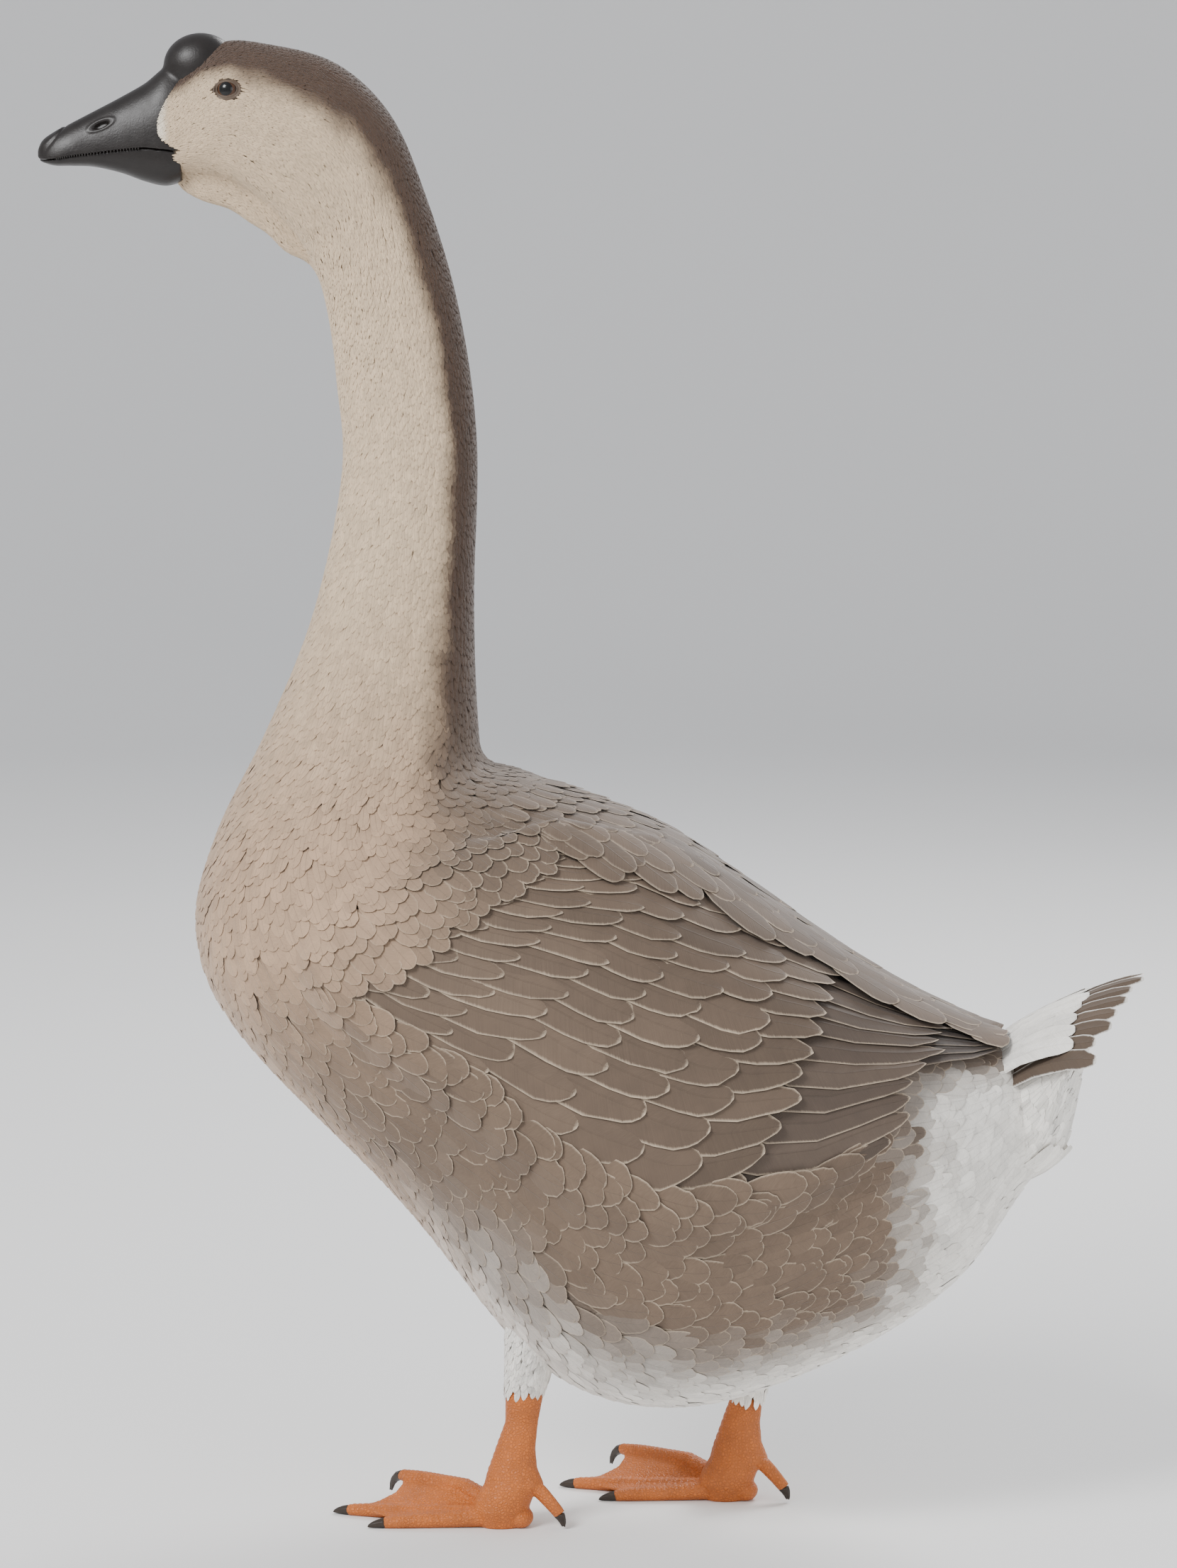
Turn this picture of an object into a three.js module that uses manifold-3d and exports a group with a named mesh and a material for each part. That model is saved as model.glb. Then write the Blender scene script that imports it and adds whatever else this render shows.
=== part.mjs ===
// A domestic goose of the heavy African type, life size, standing in a short stride.
// It has a knob on the bill, a dewlap under the jaw, a thick upright neck, a deep keel and a cocked tail.
// Millimetres. -X is forwards, +Z is up, and the goose's left side is at -Y. The floor is z = 0.
import * as THREE from "three";
import Module from "manifold-3d";

const wasm = await Module();
wasm.setup();

// ---------------------------------------------------------------- driving dimensions

const LENGTH = 658; // bill tip to tail tip
const HEIGHT = 890; // floor to the top of the knob
const GAP = 0.3; // between two nodes that touch
const BILL_TIP_X = -LENGTH / 2;
const TAIL_TIP_X = LENGTH / 2;

// Cross-sections of the trunk, from the bill's base to the root of the tail. Each lies in the plane through its
// back point and its front point, [x, z]. egg is how much broader it is towards the back, as a share.
const SECTIONS = [
  { at: "bill base", back: [-262, 852], front: [-269, 809], halfWidth: 15, egg: -0.05 },
  { at: "forehead", back: [-247, 864], front: [-247, 808], halfWidth: 22.5, egg: -0.1 },
  { at: "eye", back: [-222, 884], front: [-219, 804], halfWidth: 28.5, egg: -0.12 },
  { at: "crown", back: [-192, 883], front: [-197, 791], halfWidth: 31.5, egg: -0.12 },
  { at: "nape", back: [-153, 872], front: [-177, 771], halfWidth: 31.5, egg: -0.08 },
  { at: "throat", back: [-122, 843], front: [-165, 749], halfWidth: 30.5, egg: 0 },
  { at: "upper neck", back: [-102, 798], front: [-158, 720], halfWidth: 31, egg: 0 },
  { at: "neck bend", back: [-82, 731], front: [-154, 685], halfWidth: 33, egg: 0 },
  { at: "middle of the neck", back: [-71, 651], front: [-151, 632], halfWidth: 35.5, egg: 0 },
  { at: "lower neck", back: [-73, 558], front: [-168, 550], halfWidth: 42, egg: -0.02 },
  { at: "neck root", back: [-71, 487], front: [-197, 478], halfWidth: 57, egg: -0.04 },
  { at: "crop", back: [-66, 461], front: [-228, 415], halfWidth: 79, egg: -0.05 },
  { at: "breast", back: [-43, 453], front: [-240, 357], halfWidth: 98, egg: -0.04 },
  { at: "shoulder", back: [-6, 437], front: [-214, 296], halfWidth: 115, egg: 0 },
  { at: "keel", back: [43, 408.5], front: [-118.5, 196], halfWidth: 126, egg: 0.02 },
  { at: "hip", back: [90, 374.5], front: [-33, 94], halfWidth: 130, egg: 0 },
  { at: "paunch", back: [133, 343.5], front: [51, 69.5], halfWidth: 122, egg: -0.02 },
  { at: "vent", back: [175, 317.5], front: [145, 99], halfWidth: 99, egg: 0 },
  { at: "rear of the belly", back: [214, 300], front: [215, 144], halfWidth: 71, egg: 0.04 },
  { at: "rump", back: [241, 291], front: [255, 198], halfWidth: 44, egg: 0.08 },
  { at: "tail root", back: [258, 284], front: [275, 223], halfWidth: 24, egg: 0.1 },
];
const FULLNESS = 2.25; // exponent of each section's superellipse
const AROUND = 24; // facets round a section
const RINGS_PER_SECTION = 3;
const station = Object.fromEntries(SECTIONS.map((section, index) => [section.at, index]));

// Where the trunk is parted.
const NECK_TOP = station.throat + 0.1;
const NECK_MIDDLE = station["middle of the neck"];
const NECK_FOOT = station["neck root"] + 0.3;
const TAIL_CUT = station["rear of the belly"] + 0.55;

// Bill, knob and dewlap.
const BILL_SECTIONS = [
  { x: BILL_TIP_X, culmen: 821, mouth: 817.5, chin: 816, upperHalf: 2.5, lowerHalf: 0 },
  { x: -326, culmen: 827, mouth: 815.8, chin: 814.2, upperHalf: 7, lowerHalf: 4.5 },
  { x: -319, culmen: 832, mouth: 816.2, chin: 812.3, upperHalf: 10.5, lowerHalf: 8.5 },
  { x: -309, culmen: 837.5, mouth: 818, chin: 812.2, upperHalf: 12.5, lowerHalf: 10.8 },
  { x: -296, culmen: 844.2, mouth: 819.5, chin: 811.6, upperHalf: 13.8, lowerHalf: 12.2 },
  { x: -280, culmen: 852.5, mouth: 821.5, chin: 808, upperHalf: 16, lowerHalf: 14 },
  { x: -266, culmen: 860.5, mouth: 822.5, chin: 803, upperHalf: 18, lowerHalf: 15.8 },
  { x: -254, culmen: 870, mouth: 821.5, chin: 800.5, upperHalf: 19.5, lowerHalf: 17 },
  { x: -244, culmen: 872, mouth: 820.5, chin: 803, upperHalf: 19.5, lowerHalf: 17 },
];
const MOUTH_GAP = 0.4;
const NOSTRIL = { x: -291, z: 836, length: 10, height: 3.4, depth: 3.2, slope: 0.42 };
const KNOB = { x: -232.8, z: HEIGHT - 19.6, long: 22.2, wide: 16, high: 19.6 };
const EYE = { x: -215, z: 856, radius: 7.2, proud: 2.4, lidThickness: 1.7 };
const DEWLAP = { from: 0.12, to: 5.1, depth: 19, rootHalf: 8.5, rimHalf: 3.4, folds: 4, foldDepth: 1.1, sunk: 9 };

// Folded wing. It lies on the trunk between two edges, given as angles from the middle of the back.
const WING = {
  front: station.breast + 0.5,
  tip: station.rump + 0.12,
  coreEnd: 0.64,
  edges: [
    { at: station.breast + 0.5, upper: 58, lower: 108 },
    { at: station.shoulder, upper: 34, lower: 113 },
    { at: station.keel, upper: 13, lower: 106 },
    { at: station.hip, upper: 5, lower: 97 },
    { at: station.paunch, upper: 3, lower: 86 },
    { at: station.vent, upper: 3, lower: 75 },
    { at: station["rear of the belly"], upper: 4, lower: 61 },
    { at: station.rump + 0.12, upper: 6, lower: 48 },
  ],
};
const VANE_THICKNESS = 0.8;
const VANE_STEP = 2.0; // height between two neighbouring vanes of a tier, where they overlap
const WING_VANES = 10; // side by side across the wing, in every tier
// Tiers of wing feathers, from the one that lies lowest to the one on top. root and tips (at the upper and at the
// lower edge of the wing) are shares of its length, vanes is the range across it, and rise is the height above the
// trunk at root and tip. point runs from pointed (0) to round (1).
const WING_TIERS = [
  { name: "primaries", vanes: [1, 5], root: 0.6, tips: [1, 0.93], rise: [2.4, 6.4], point: 0.5 },
  { name: "secondaries", vanes: [0, 9], root: 0.44, tips: [0.87, 0.68], rise: [2.8, 8.2], point: 0.85 },
  { name: "greater coverts", vanes: [0, 9], root: 0.27, tips: [0.58, 0.5], rise: [3.8, 9], point: 0.9 },
];
const VANE_OVERLAP = 1.5; // width of a vane over the distance between two
const LENGTH_SPREAD = 0.02; // how much feathers of one tier differ in length, as a share of the wing

// Tail feathers lie on arched fans. Each curve runs root, middle, tip as [x, y, z], in the middle and at the side.
const RECTRICES = {
  middle: [[222, 0, 265], [272, 0, 308], [TAIL_TIP_X, 0, 331]],
  side: [[226, 22, 256], [260, 42, 282], [292.5, 60, 290]],
  count: 13,
  point: 0.6,
  rise: [-4, 0],
};
const UPPER_TAIL_COVERTS = {
  middle: [[228, 0, 282.5], [258, 0, 304], [296, 0, 322]],
  side: [[226, 24, 268], [252, 36, 288], [280, 46, 297]],
  count: 7,
  point: 0.9,
  rise: [-2, 0],
};
const UNDER_TAIL_TIERS = [
  { middle: [[262, 0, 264], [284, 0, 272], [302, 0, 286]], side: [[258, 30, 258], [274, 38, 264], [288, 44, 274]] },
  { middle: [[258, 0, 242], [279, 0, 249], [296, 0, 263]], side: [[254, 30, 240], [268, 36, 245], [281, 41, 254]] },
  { middle: [[236, 0, 203], [265, 0, 208], [292, 0, 230]], side: [[232, 24, 209], [251, 33, 217], [269, 36, 233]] },
].map((tier) => ({ ...tier, count: 5, point: 0.9, rise: [-9, 0] }));
const TAIL_CORE = { upper: 0.8, lower: 0.87, sunk: 3.2 }; // solid middle of the tail, as shares of the feathers

// Space round the primaries that the tail keeps clear, as shares of the wing and as heights above the trunk.
const WING_ROOM = { from: 0.86, to: 1.02, upper: 0.02, lower: 0.69, low: 3.2, high: 12 };

// Legs. The left foot is set forwards and the right foot back, and both point a little to the goose's right.
const FOOT_APART = 32; // each ankle from the middle plane
const TOES_TURNED = 15; // degrees
// Each side toe is [spread from the middle toe, length].
const LEGS = [
  { side: "left", out: -1, ankleX: -50, hock: 84, cuff: 1, outerToe: [18, 78], innerToe: [26, 92] },
  { side: "right", out: 1, ankleX: 87, hock: 64, cuff: 0.86, outerToe: [26, 94], innerToe: [18, 76] },
];
// Feathered thigh from the hock upwards. ahead is how far its middle lies behind the ankle.
const THIGH_SECTIONS = [
  { z: 84, behind: 7, long: 13, wide: 11, apart: 32 },
  { z: 100, behind: 10, long: 15.5, wide: 14.5, apart: 35 },
  { z: 120, behind: 14, long: 19.5, wide: 20, apart: 40 },
  { z: 145, behind: 20, long: 25, wide: 26, apart: 47 },
  { z: 172, behind: 26, long: 30, wide: 32, apart: 55 },
];
const SHANK_SECTIONS = [
  { z: 84, behind: 7, long: 11.8, wide: 9.4 },
  { z: 64, behind: 5, long: 10, wide: 7.8 },
  { z: 48, behind: 1.4, long: 12, wide: 8.8 },
  { z: 36, behind: -0.2, long: 14.6, wide: 10.6 },
  { z: 26, behind: 0.4, long: 18, wide: 13 },
];
const ANKLE_HEIGHT = 26;
const MIDDLE_TOE = 104;
const TOE_LIFT = [0, 0, 13]; // of the tips, from the goose's left to its right
const TOE_ROOT_RADIUS = 7.4;
const TOE_TIP_RADIUS = 4;
const TOE_JOINTS = [0.36, 0.66, 0.9];
const TOE_SET = 0.7; // height of a toe's middle line over its radius, so that its sole is a flat
const WEB = { thickness: 1.8, height: 7, tipHeight: 4.4, reach: 0.98, scallop: 0.14, arch: 2 };
const HIND_TOE = [[5, 33], [20, 20], [29, 9]]; // [behind the ankle, height]
const CLAW_LENGTH = 13;

// ---------------------------------------------------------------- solids

const material = (color, roughness) => new THREE.MeshStandardMaterial({ color, roughness, metalness: 0 });
const PLUMAGE_PALE = material("#cfc3b2", 0.85);
const PLUMAGE_BROWN = material("#8a7b6c", 0.85);
const PLUMAGE_WHITE = material("#ece8e0", 0.85);
const HORN_BLACK = material("#26221f", 0.45);
const DEWLAP_SKIN = material("#c9b8a0", 0.8);
const LEG_ORANGE = material("#c4642c", 0.55);
const CLAW_HORN = material("#4a4038", 0.5);
const EYE_BROWN = material("#3a2416", 0.1);

function closedSolid(points, faces) {
  const vertProperties = new Float32Array(points.flatMap((p) => [p.x, p.y, p.z]));
  let volume = 0;
  for (const [a, b, c] of faces) volume += points[a].dot(new THREE.Vector3().crossVectors(points[b], points[c]));
  const facingOut = volume > 0 ? faces : faces.map(([a, b, c]) => [a, c, b]);
  const mesh = new wasm.Mesh({ numProp: 3, vertProperties, triVerts: new Uint32Array(facingOut.flat()) });
  mesh.merge();
  return new wasm.Manifold(mesh);
}

// A closed skin over rings of points that follow one another, with a fan over each end.
function loft(rings) {
  const sides = rings[0].length;
  const points = rings.flat();
  const faces = [];
  for (let ring = 0; ring + 1 < rings.length; ring++) {
    for (let side = 0; side < sides; side++) {
      const a = ring * sides + side;
      const b = ring * sides + ((side + 1) % sides);
      faces.push([a, b, b + sides], [a, b + sides, a + sides]);
    }
  }
  for (const [ring, flip] of [[0, true], [rings.length - 1, false]]) {
    const centre = rings[ring].reduce((sum, p) => sum.add(p), new THREE.Vector3()).divideScalar(sides);
    points.push(centre);
    for (let side = 0; side < sides; side++) {
      const a = ring * sides + side;
      const b = ring * sides + ((side + 1) % sides);
      faces.push(flip ? [b, a, points.length - 1] : [a, b, points.length - 1]);
    }
  }
  return closedSolid(points, faces);
}

// A plate between two grids of points, split into triangles alike on both faces.
function plate(above, below) {
  const rows = above.length;
  const columns = above[0].length;
  const points = [...above.flat(), ...below.flat()];
  const under = rows * columns;
  const at = (row, column) => row * columns + column;
  const faces = [];
  for (let row = 0; row + 1 < rows; row++) {
    for (let column = 0; column + 1 < columns; column++) {
      const [a, b, c, d] = [at(row, column), at(row, column + 1), at(row + 1, column + 1), at(row + 1, column)];
      faces.push([a, b, c], [a, c, d], [c + under, b + under, a + under], [d + under, c + under, a + under]);
    }
  }
  const rim = [];
  for (let column = 0; column < columns; column++) rim.push(at(0, column));
  for (let row = 1; row < rows; row++) rim.push(at(row, columns - 1));
  for (let column = columns - 2; column >= 0; column--) rim.push(at(rows - 1, column));
  for (let row = rows - 2; row > 0; row--) rim.push(at(row, 0));
  rim.forEach((a, index) => {
    const b = rim[(index + 1) % rim.length];
    faces.push([b, a, a + under], [b, a + under, b + under]);
  });
  return closedSolid(points, faces);
}

function ellipsoid(centre, radii, around = 16, along = 10) {
  const rings = [];
  for (let ring = 1; ring < along; ring++) {
    const polar = (Math.PI * ring) / along;
    rings.push(
      Array.from({ length: around }, (_, side) => {
        const turn = (2 * Math.PI * side) / around;
        return new THREE.Vector3(
          centre[0] + radii[0] * Math.sin(polar) * Math.cos(turn),
          centre[1] + radii[1] * Math.sin(polar) * Math.sin(turn),
          centre[2] + radii[2] * Math.cos(polar),
        );
      }),
    );
  }
  rings.unshift(rings[0].map((p) => new THREE.Vector3(
    centre[0] + (p.x - centre[0]) * 0.4, centre[1] + (p.y - centre[1]) * 0.4, centre[2] + radii[2] * 0.995)));
  const last = rings[rings.length - 1];
  rings.push(last.map((p) => new THREE.Vector3(
    centre[0] + (p.x - centre[0]) * 0.4, centre[1] + (p.y - centre[1]) * 0.4, centre[2] - radii[2] * 0.995)));
  return loft(rings);
}

const fuse = (pieces) => wasm.Manifold.union(pieces);

// The largest closed surface of a solid, without sealed hollows or loose scraps.
function whole(solid) {
  return solid.decompose().reduce((best, piece) => (piece.volume() > best.volume() ? piece : best));
}

function meshOf(name, solid, look) {
  const made = whole(solid).getMesh();
  const positions = new Float32Array(made.numVert * 3);
  for (let vertex = 0; vertex < made.numVert; vertex++) {
    positions.set(made.vertProperties.subarray(vertex * made.numProp, vertex * made.numProp + 3), vertex * 3);
  }
  const geometry = new THREE.BufferGeometry();
  geometry.setAttribute("position", new THREE.BufferAttribute(positions, 3));
  geometry.setIndex(new THREE.BufferAttribute(made.triVerts, 1));
  geometry.computeVertexNormals();
  const mesh = new THREE.Mesh(geometry, look);
  mesh.name = name;
  return mesh;
}

const lerp = (a, b, share) => a + (b - a) * share;
const radians = (degrees) => (degrees * Math.PI) / 180;
const smooth = (low, high, value) => THREE.MathUtils.smoothstep(value, low, high);

// A smooth curve through evenly numbered values, read at any place between them.
function through(values, place) {
  const last = values.length - 1;
  const index = Math.min(Math.max(Math.floor(place), 0), last - 1);
  const t = place - index;
  const v = (k) => values[Math.min(Math.max(k, 0), last)];
  const rise = (k) => (v(k + 1) - v(k - 1)) / 2;
  const [a, b, ra, rb] = [v(index), v(index + 1), rise(index), rise(index + 1)];
  return a + ra * t + (3 * (b - a) - 2 * ra - rb) * t * t + (2 * (a - b) + ra + rb) * t * t * t;
}

// Straight-line reading of a table of rows, by one of their values.
function tableAt(rows, key, place, field) {
  const after = rows.findIndex((row) => row[key] >= place);
  if (after <= 0) return rows[after < 0 ? rows.length - 1 : 0][field];
  const [low, high] = [rows[after - 1], rows[after]];
  return lerp(low[field], high[field], smooth(0, 1, (place - low[key]) / (high[key] - low[key])) * 0.5
    + 0.5 * ((place - low[key]) / (high[key] - low[key])));
}

// ---------------------------------------------------------------- trunk

function trunkFrame(place) {
  const read = (pick) => through(SECTIONS.map(pick), place);
  const back = new THREE.Vector3(read((s) => s.back[0]), 0, read((s) => s.back[1]));
  const front = new THREE.Vector3(read((s) => s.front[0]), 0, read((s) => s.front[1]));
  return {
    centre: back.clone().add(front).divideScalar(2),
    up: back.clone().sub(front).normalize(),
    half: back.distanceTo(front) / 2,
    halfWidth: read((s) => s.halfWidth),
    egg: read((s) => s.egg),
  };
}

// A point on the trunk at an angle from the middle of the back, held off it by rise. side is 1 or -1.
function trunkPoint(place, angle, rise, side = 1) {
  const { centre, up, half, halfWidth, egg } = trunkFrame(place);
  const power = 2 / FULLNESS;
  const bulge = (v) => Math.sign(v) * Math.abs(v) ** power;
  const depth = (half + rise) * bulge(Math.cos(angle));
  const across = (halfWidth + rise) * bulge(Math.sin(angle)) * (1 + egg * Math.cos(angle));
  return centre.clone().addScaledVector(up, depth).add(new THREE.Vector3(0, side * across, 0));
}

function trunkPlane(place) {
  const { centre, up } = trunkFrame(place);
  const normal = new THREE.Vector3(up.z, 0, -up.x); // towards the tail
  return { normal, centre };
}

// The trunk between two places, grown by rise, with a flat face square to each end's section.
function trunk(from, to, rise = 0) {
  const steps = Math.round((to - from) * RINGS_PER_SECTION);
  const rings = Array.from({ length: steps + 1 }, (_, step) =>
    Array.from({ length: AROUND }, (_, side) =>
      trunkPoint(from + ((to - from) * step) / steps, (2 * Math.PI * side) / AROUND, rise)));
  const ends = [[rings[0], from, -1], [rings[steps], to, 1]];
  for (const [ring, place, sense] of rise > 0 ? ends : []) {
    const shift = trunkPlane(place).normal.multiplyScalar(sense * rise);
    const outer = ring.map((p) => p.clone().add(shift));
    if (sense < 0) rings.unshift(outer);
    else rings.push(outer);
  }
  return loft(rings);
}

// Trunk solid between two places, parted from its neighbours by half a gap at each cut.
function trunkPiece(from, to) {
  const last = SECTIONS.length - 1;
  let piece = trunk(Math.max(Math.floor(from) - 1, 0), Math.min(Math.ceil(to) + 1, last));
  const trim = (place, sense) => {
    const { normal, centre } = trunkPlane(place);
    const facing = normal.multiplyScalar(sense);
    piece = piece.trimByPlane(facing.toArray(), facing.dot(centre) + GAP / 2);
  };
  if (from > 0) trim(from, 1);
  if (to < last) trim(to, -1);
  return piece;
}

const trunkClear = trunk(0, SECTIONS.length - 1, GAP);

// ---------------------------------------------------------------- bill, knob, eyes, dewlap

function mandible(upper, grow = 0) {
  const rows = upper ? BILL_SECTIONS : BILL_SECTIONS.slice(1);
  const arc = 9;
  const rings = rows.map((row) => {
    const half = (upper ? row.upperHalf : row.lowerHalf) + grow;
    const flat = row.mouth + (upper ? MOUTH_GAP / 2 - grow : -MOUTH_GAP / 2 + grow);
    const crest = upper ? row.culmen + grow : row.chin - grow;
    const ring = [];
    for (let step = 0; step <= arc; step++) {
      const turn = (Math.PI * step) / arc;
      const across = half * Math.sign(Math.cos(turn)) * Math.abs(Math.cos(turn)) ** (upper ? 0.9 : 0.8);
      ring.push(new THREE.Vector3(row.x, across, flat + (crest - flat) * Math.sin(turn) ** (upper ? 1.05 : 0.8)));
    }
    for (const share of [-0.5, 0, 0.5]) ring.push(new THREE.Vector3(row.x, half * share, flat));
    return ring;
  });
  return loft(rings);
}

function nostril(side) {
  const half = tableAt(BILL_SECTIONS, "x", NOSTRIL.x, "upperHalf");
  const hole = ellipsoid([0, 0, 0], [NOSTRIL.length / 2, NOSTRIL.depth, NOSTRIL.height / 2], 12, 6);
  const tilt = THREE.MathUtils.radToDeg(Math.atan(NOSTRIL.slope));
  return hole.rotate([0, -tilt, 0]).translate([NOSTRIL.x, side * half * 0.78, NOSTRIL.z]);
}

const knobSolid = (grow = 0) =>
  ellipsoid([KNOB.x, 0, KNOB.z], [KNOB.long + grow, KNOB.wide + grow, KNOB.high + grow], 20, 12);

// Angle and side distance of the head's surface at the eye's height.
function eyeCentre(side) {
  let best = null;
  for (let angle = 20; angle <= 120; angle++) {
    const p = trunkPoint(station.eye + 0.22, radians(angle), 0, side);
    if (!best || Math.abs(p.z - EYE.z) < Math.abs(best.z - EYE.z)) best = p;
  }
  return new THREE.Vector3(EYE.x, best.y - side * (EYE.radius - EYE.proud), EYE.z);
}

function eyeball(side, grow = 0) {
  const r = EYE.radius + grow;
  return ellipsoid(eyeCentre(side).toArray(), [r, r, r], 12, 7);
}

// A lid ring round the eye, leaning with the side of the head.
function lids(side) {
  const centre = eyeCentre(side);
  const rings = [];
  const around = 16;
  for (let step = 0; step < around; step++) {
    const turn = (2 * Math.PI * step) / around;
    const out = new THREE.Vector3(Math.cos(turn), 0, Math.sin(turn) * 0.92);
    const at = centre.clone().addScaledVector(out, EYE.radius + 0.2);
    at.y += side * (EYE.radius - EYE.proud - 0.6 - 1.3 * Math.sin(turn));
    rings.push(Array.from({ length: 6 }, (_, k) => {
      const roll = (Math.PI * k) / 3;
      return at.clone()
        .addScaledVector(out, EYE.lidThickness * Math.cos(roll))
        .add(new THREE.Vector3(0, side * EYE.lidThickness * Math.sin(roll), 0));
    }));
  }
  const points = rings.flat();
  const faces = [];
  for (let ring = 0; ring < around; ring++) {
    for (let k = 0; k < 6; k++) {
      const [a, b] = [ring * 6 + k, ring * 6 + ((k + 1) % 6)];
      const [c, d] = [((ring + 1) % around) * 6 + ((k + 1) % 6), ((ring + 1) % around) * 6 + k];
      faces.push([a, b, c], [a, c, d]);
    }
  }
  return closedSolid(points, faces);
}

// A thin fold of skin that hangs from the throat, with a scalloped rim.
function dewlap() {
  const steps = 20;
  const rings = Array.from({ length: steps + 1 }, (_, step) => {
    const share = step / steps;
    const place = lerp(DEWLAP.from, DEWLAP.to, share);
    const { up, centre, half } = trunkFrame(place);
    const throat = centre.clone().addScaledVector(up, -half);
    const swell = smooth(0, 0.38, share) * smooth(0, 0.36, 1 - share) ** 0.8;
    const scallop = DEWLAP.foldDepth * Math.cos(2 * Math.PI * DEWLAP.folds * share) * swell;
    const depth = Math.max(DEWLAP.depth * swell * (1.02 - 0.24 * share) + scallop, 0.8);
    const outline = [[0, 1], [0.35, 0.95], [0.7, 0.72], [0.94, 0.42]];
    const point = (down, across) => throat.clone()
      .addScaledVector(up, DEWLAP.sunk - (DEWLAP.sunk + depth) * down)
      .add(new THREE.Vector3(0, across, 0));
    const thick = (share) => lerp(DEWLAP.rimHalf, DEWLAP.rootHalf, share) * (0.45 + 0.55 * swell);
    return [
      ...outline.map(([down, broad]) => point(down, thick(broad))),
      point(1, 0),
      ...outline.toReversed().map(([down, broad]) => point(down, -thick(broad))),
    ];
  });
  return loft(rings);
}

// ---------------------------------------------------------------- feathers

// Shares of a vane's half width along its length, for a tip from pointed (0) to round (1).
const vaneOutline = (point) => [
  [0, 0.6], [0.4, 1], [0.76, 0.78 + 0.22 * point], [0.93, 0.34 + 0.4 * point], [1, 0.08 + 0.22 * point],
];

let seed = 7;
function chance() {
  seed = (seed * 1103515245 + 12345) % 2147483648;
  return seed / 2147483648;
}

// A vane on a surface. surface(share along, place across, height) gives a point.
function vane(surface, { along, centre, half, height, point }) {
  const above = [];
  const below = [];
  for (const [share, broad] of vaneOutline(point)) {
    const place = lerp(along[0], along[1], share);
    const edges = [-1, 1].map((edge) => centre(share) + edge * half(share) * broad);
    above.push(edges.map((across) => surface(place, across, height(share, across) + VANE_THICKNESS)));
    below.push(edges.map((across) => surface(place, across, height(share, across))));
  }
  return plate(above, below);
}

// ---------------------------------------------------------------- wing

const wingPlace = (along) => lerp(WING.front, WING.tip, along);

function wingSurface(side) {
  return (along, across, rise) => {
    const place = wingPlace(along);
    const upper = tableAt(WING.edges, "at", place, "upper");
    const lower = tableAt(WING.edges, "at", place, "lower");
    return trunkPoint(place, radians(lerp(upper, lower, across)), rise, side);
  };
}

// Height of the wing's fleshy part above the trunk.
function wingCoreRise(along, across) {
  const swell = lerp(7.4, 2.6, smooth(0.1, WING.coreEnd, along)) * smooth(-0.16, 0.08, along);
  const edge = smooth(-0.1, 0.12, across) * smooth(-0.04, 0.14, 1 - across);
  return lerp(Math.min(1.5, swell), swell, edge);
}

function wingCore(side, end, riseAt) {
  const surface = wingSurface(side);
  const rows = 8;
  const columns = 6;
  const grid = (rise) => Array.from({ length: rows + 1 }, (_, row) => {
    const along = (end * row) / rows;
    const spread = Math.sin((Math.PI / 2) * Math.min(0.3 + along / 0.13, 1));
    return Array.from({ length: columns + 1 }, (_, column) => {
      const across = 0.5 + (column / columns - 0.5) * spread;
      return surface(along, across, rise(along, across));
    });
  });
  return plate(grid(riseAt), grid(() => -4)).subtract(trunkClear);
}

function wing(side) {
  const surface = wingSurface(side);
  const pitch = 1 / WING_VANES;
  const pieces = [wingCore(side, WING.coreEnd, wingCoreRise)];
  for (const tier of WING_TIERS) {
    for (let index = tier.vanes[0]; index <= tier.vanes[1]; index++) {
      const place = (index + 0.5) * pitch;
      const tip = lerp(tier.tips[0], tier.tips[1], place) + LENGTH_SPREAD * (chance() - 0.5);
      pieces.push(vane(surface, {
        along: [tier.root, tip],
        point: tier.point,
        centre: () => place,
        half: () => (pitch * VANE_OVERLAP) / 2,
        height: (share, across) => lerp(tier.rise[0], tier.rise[1], share) + (VANE_STEP * (across - place)) / pitch,
      }));
    }
  }
  return fuse(pieces);
}

// ---------------------------------------------------------------- tail

// A point on an arched fan: share 0..1 from root to tip, place -1..1 from side to side, rise outwards.
function fanSurface({ middle, side }, sense) {
  const bezier = ([a, b, c], t) => {
    const [p, q, r] = [a, b, c].map((v) => new THREE.Vector3(...v));
    const bend = q.clone().multiplyScalar(2).sub(p.clone().add(r).multiplyScalar(0.5)); // passes through b
    return p.multiplyScalar((1 - t) ** 2).add(bend.multiplyScalar(2 * t * (1 - t))).add(r.multiplyScalar(t * t));
  };
  return (share, place, rise) => {
    const [fall, back] = [Math.abs(place) ** 1.5, Math.abs(place) ** 1.05];
    const inner = bezier(middle, share);
    const outer = bezier(side, share);
    return new THREE.Vector3(
      lerp(inner.x, outer.x, back) - 0.25 * sense * rise,
      outer.y * place + 0.35 * sense * rise * place,
      lerp(inner.z, outer.z, fall) + sense * rise * 0.9,
    );
  };
}

function fan(shape, sense = 1) {
  const surface = fanSurface(shape, sense);
  const middle = (shape.count - 1) / 2;
  const step = 1 / middle;
  return Array.from({ length: shape.count }, (_, index) => {
    const place = (index - middle) * step;
    const tilt = (across) => (place === 0 ? 0.5 : (Math.sign(place) * across - Math.abs(place)) / step);
    return vane(surface, {
      along: [0, 1 + LENGTH_SPREAD * (chance() - 0.5)],
      point: shape.point,
      centre: () => place,
      half: () => (step * VANE_OVERLAP) / 2,
      height: (share, across) => VANE_STEP * tilt(across) + lerp(...shape.rise, Math.min(share / 0.4, 1)),
    });
  });
}

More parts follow.
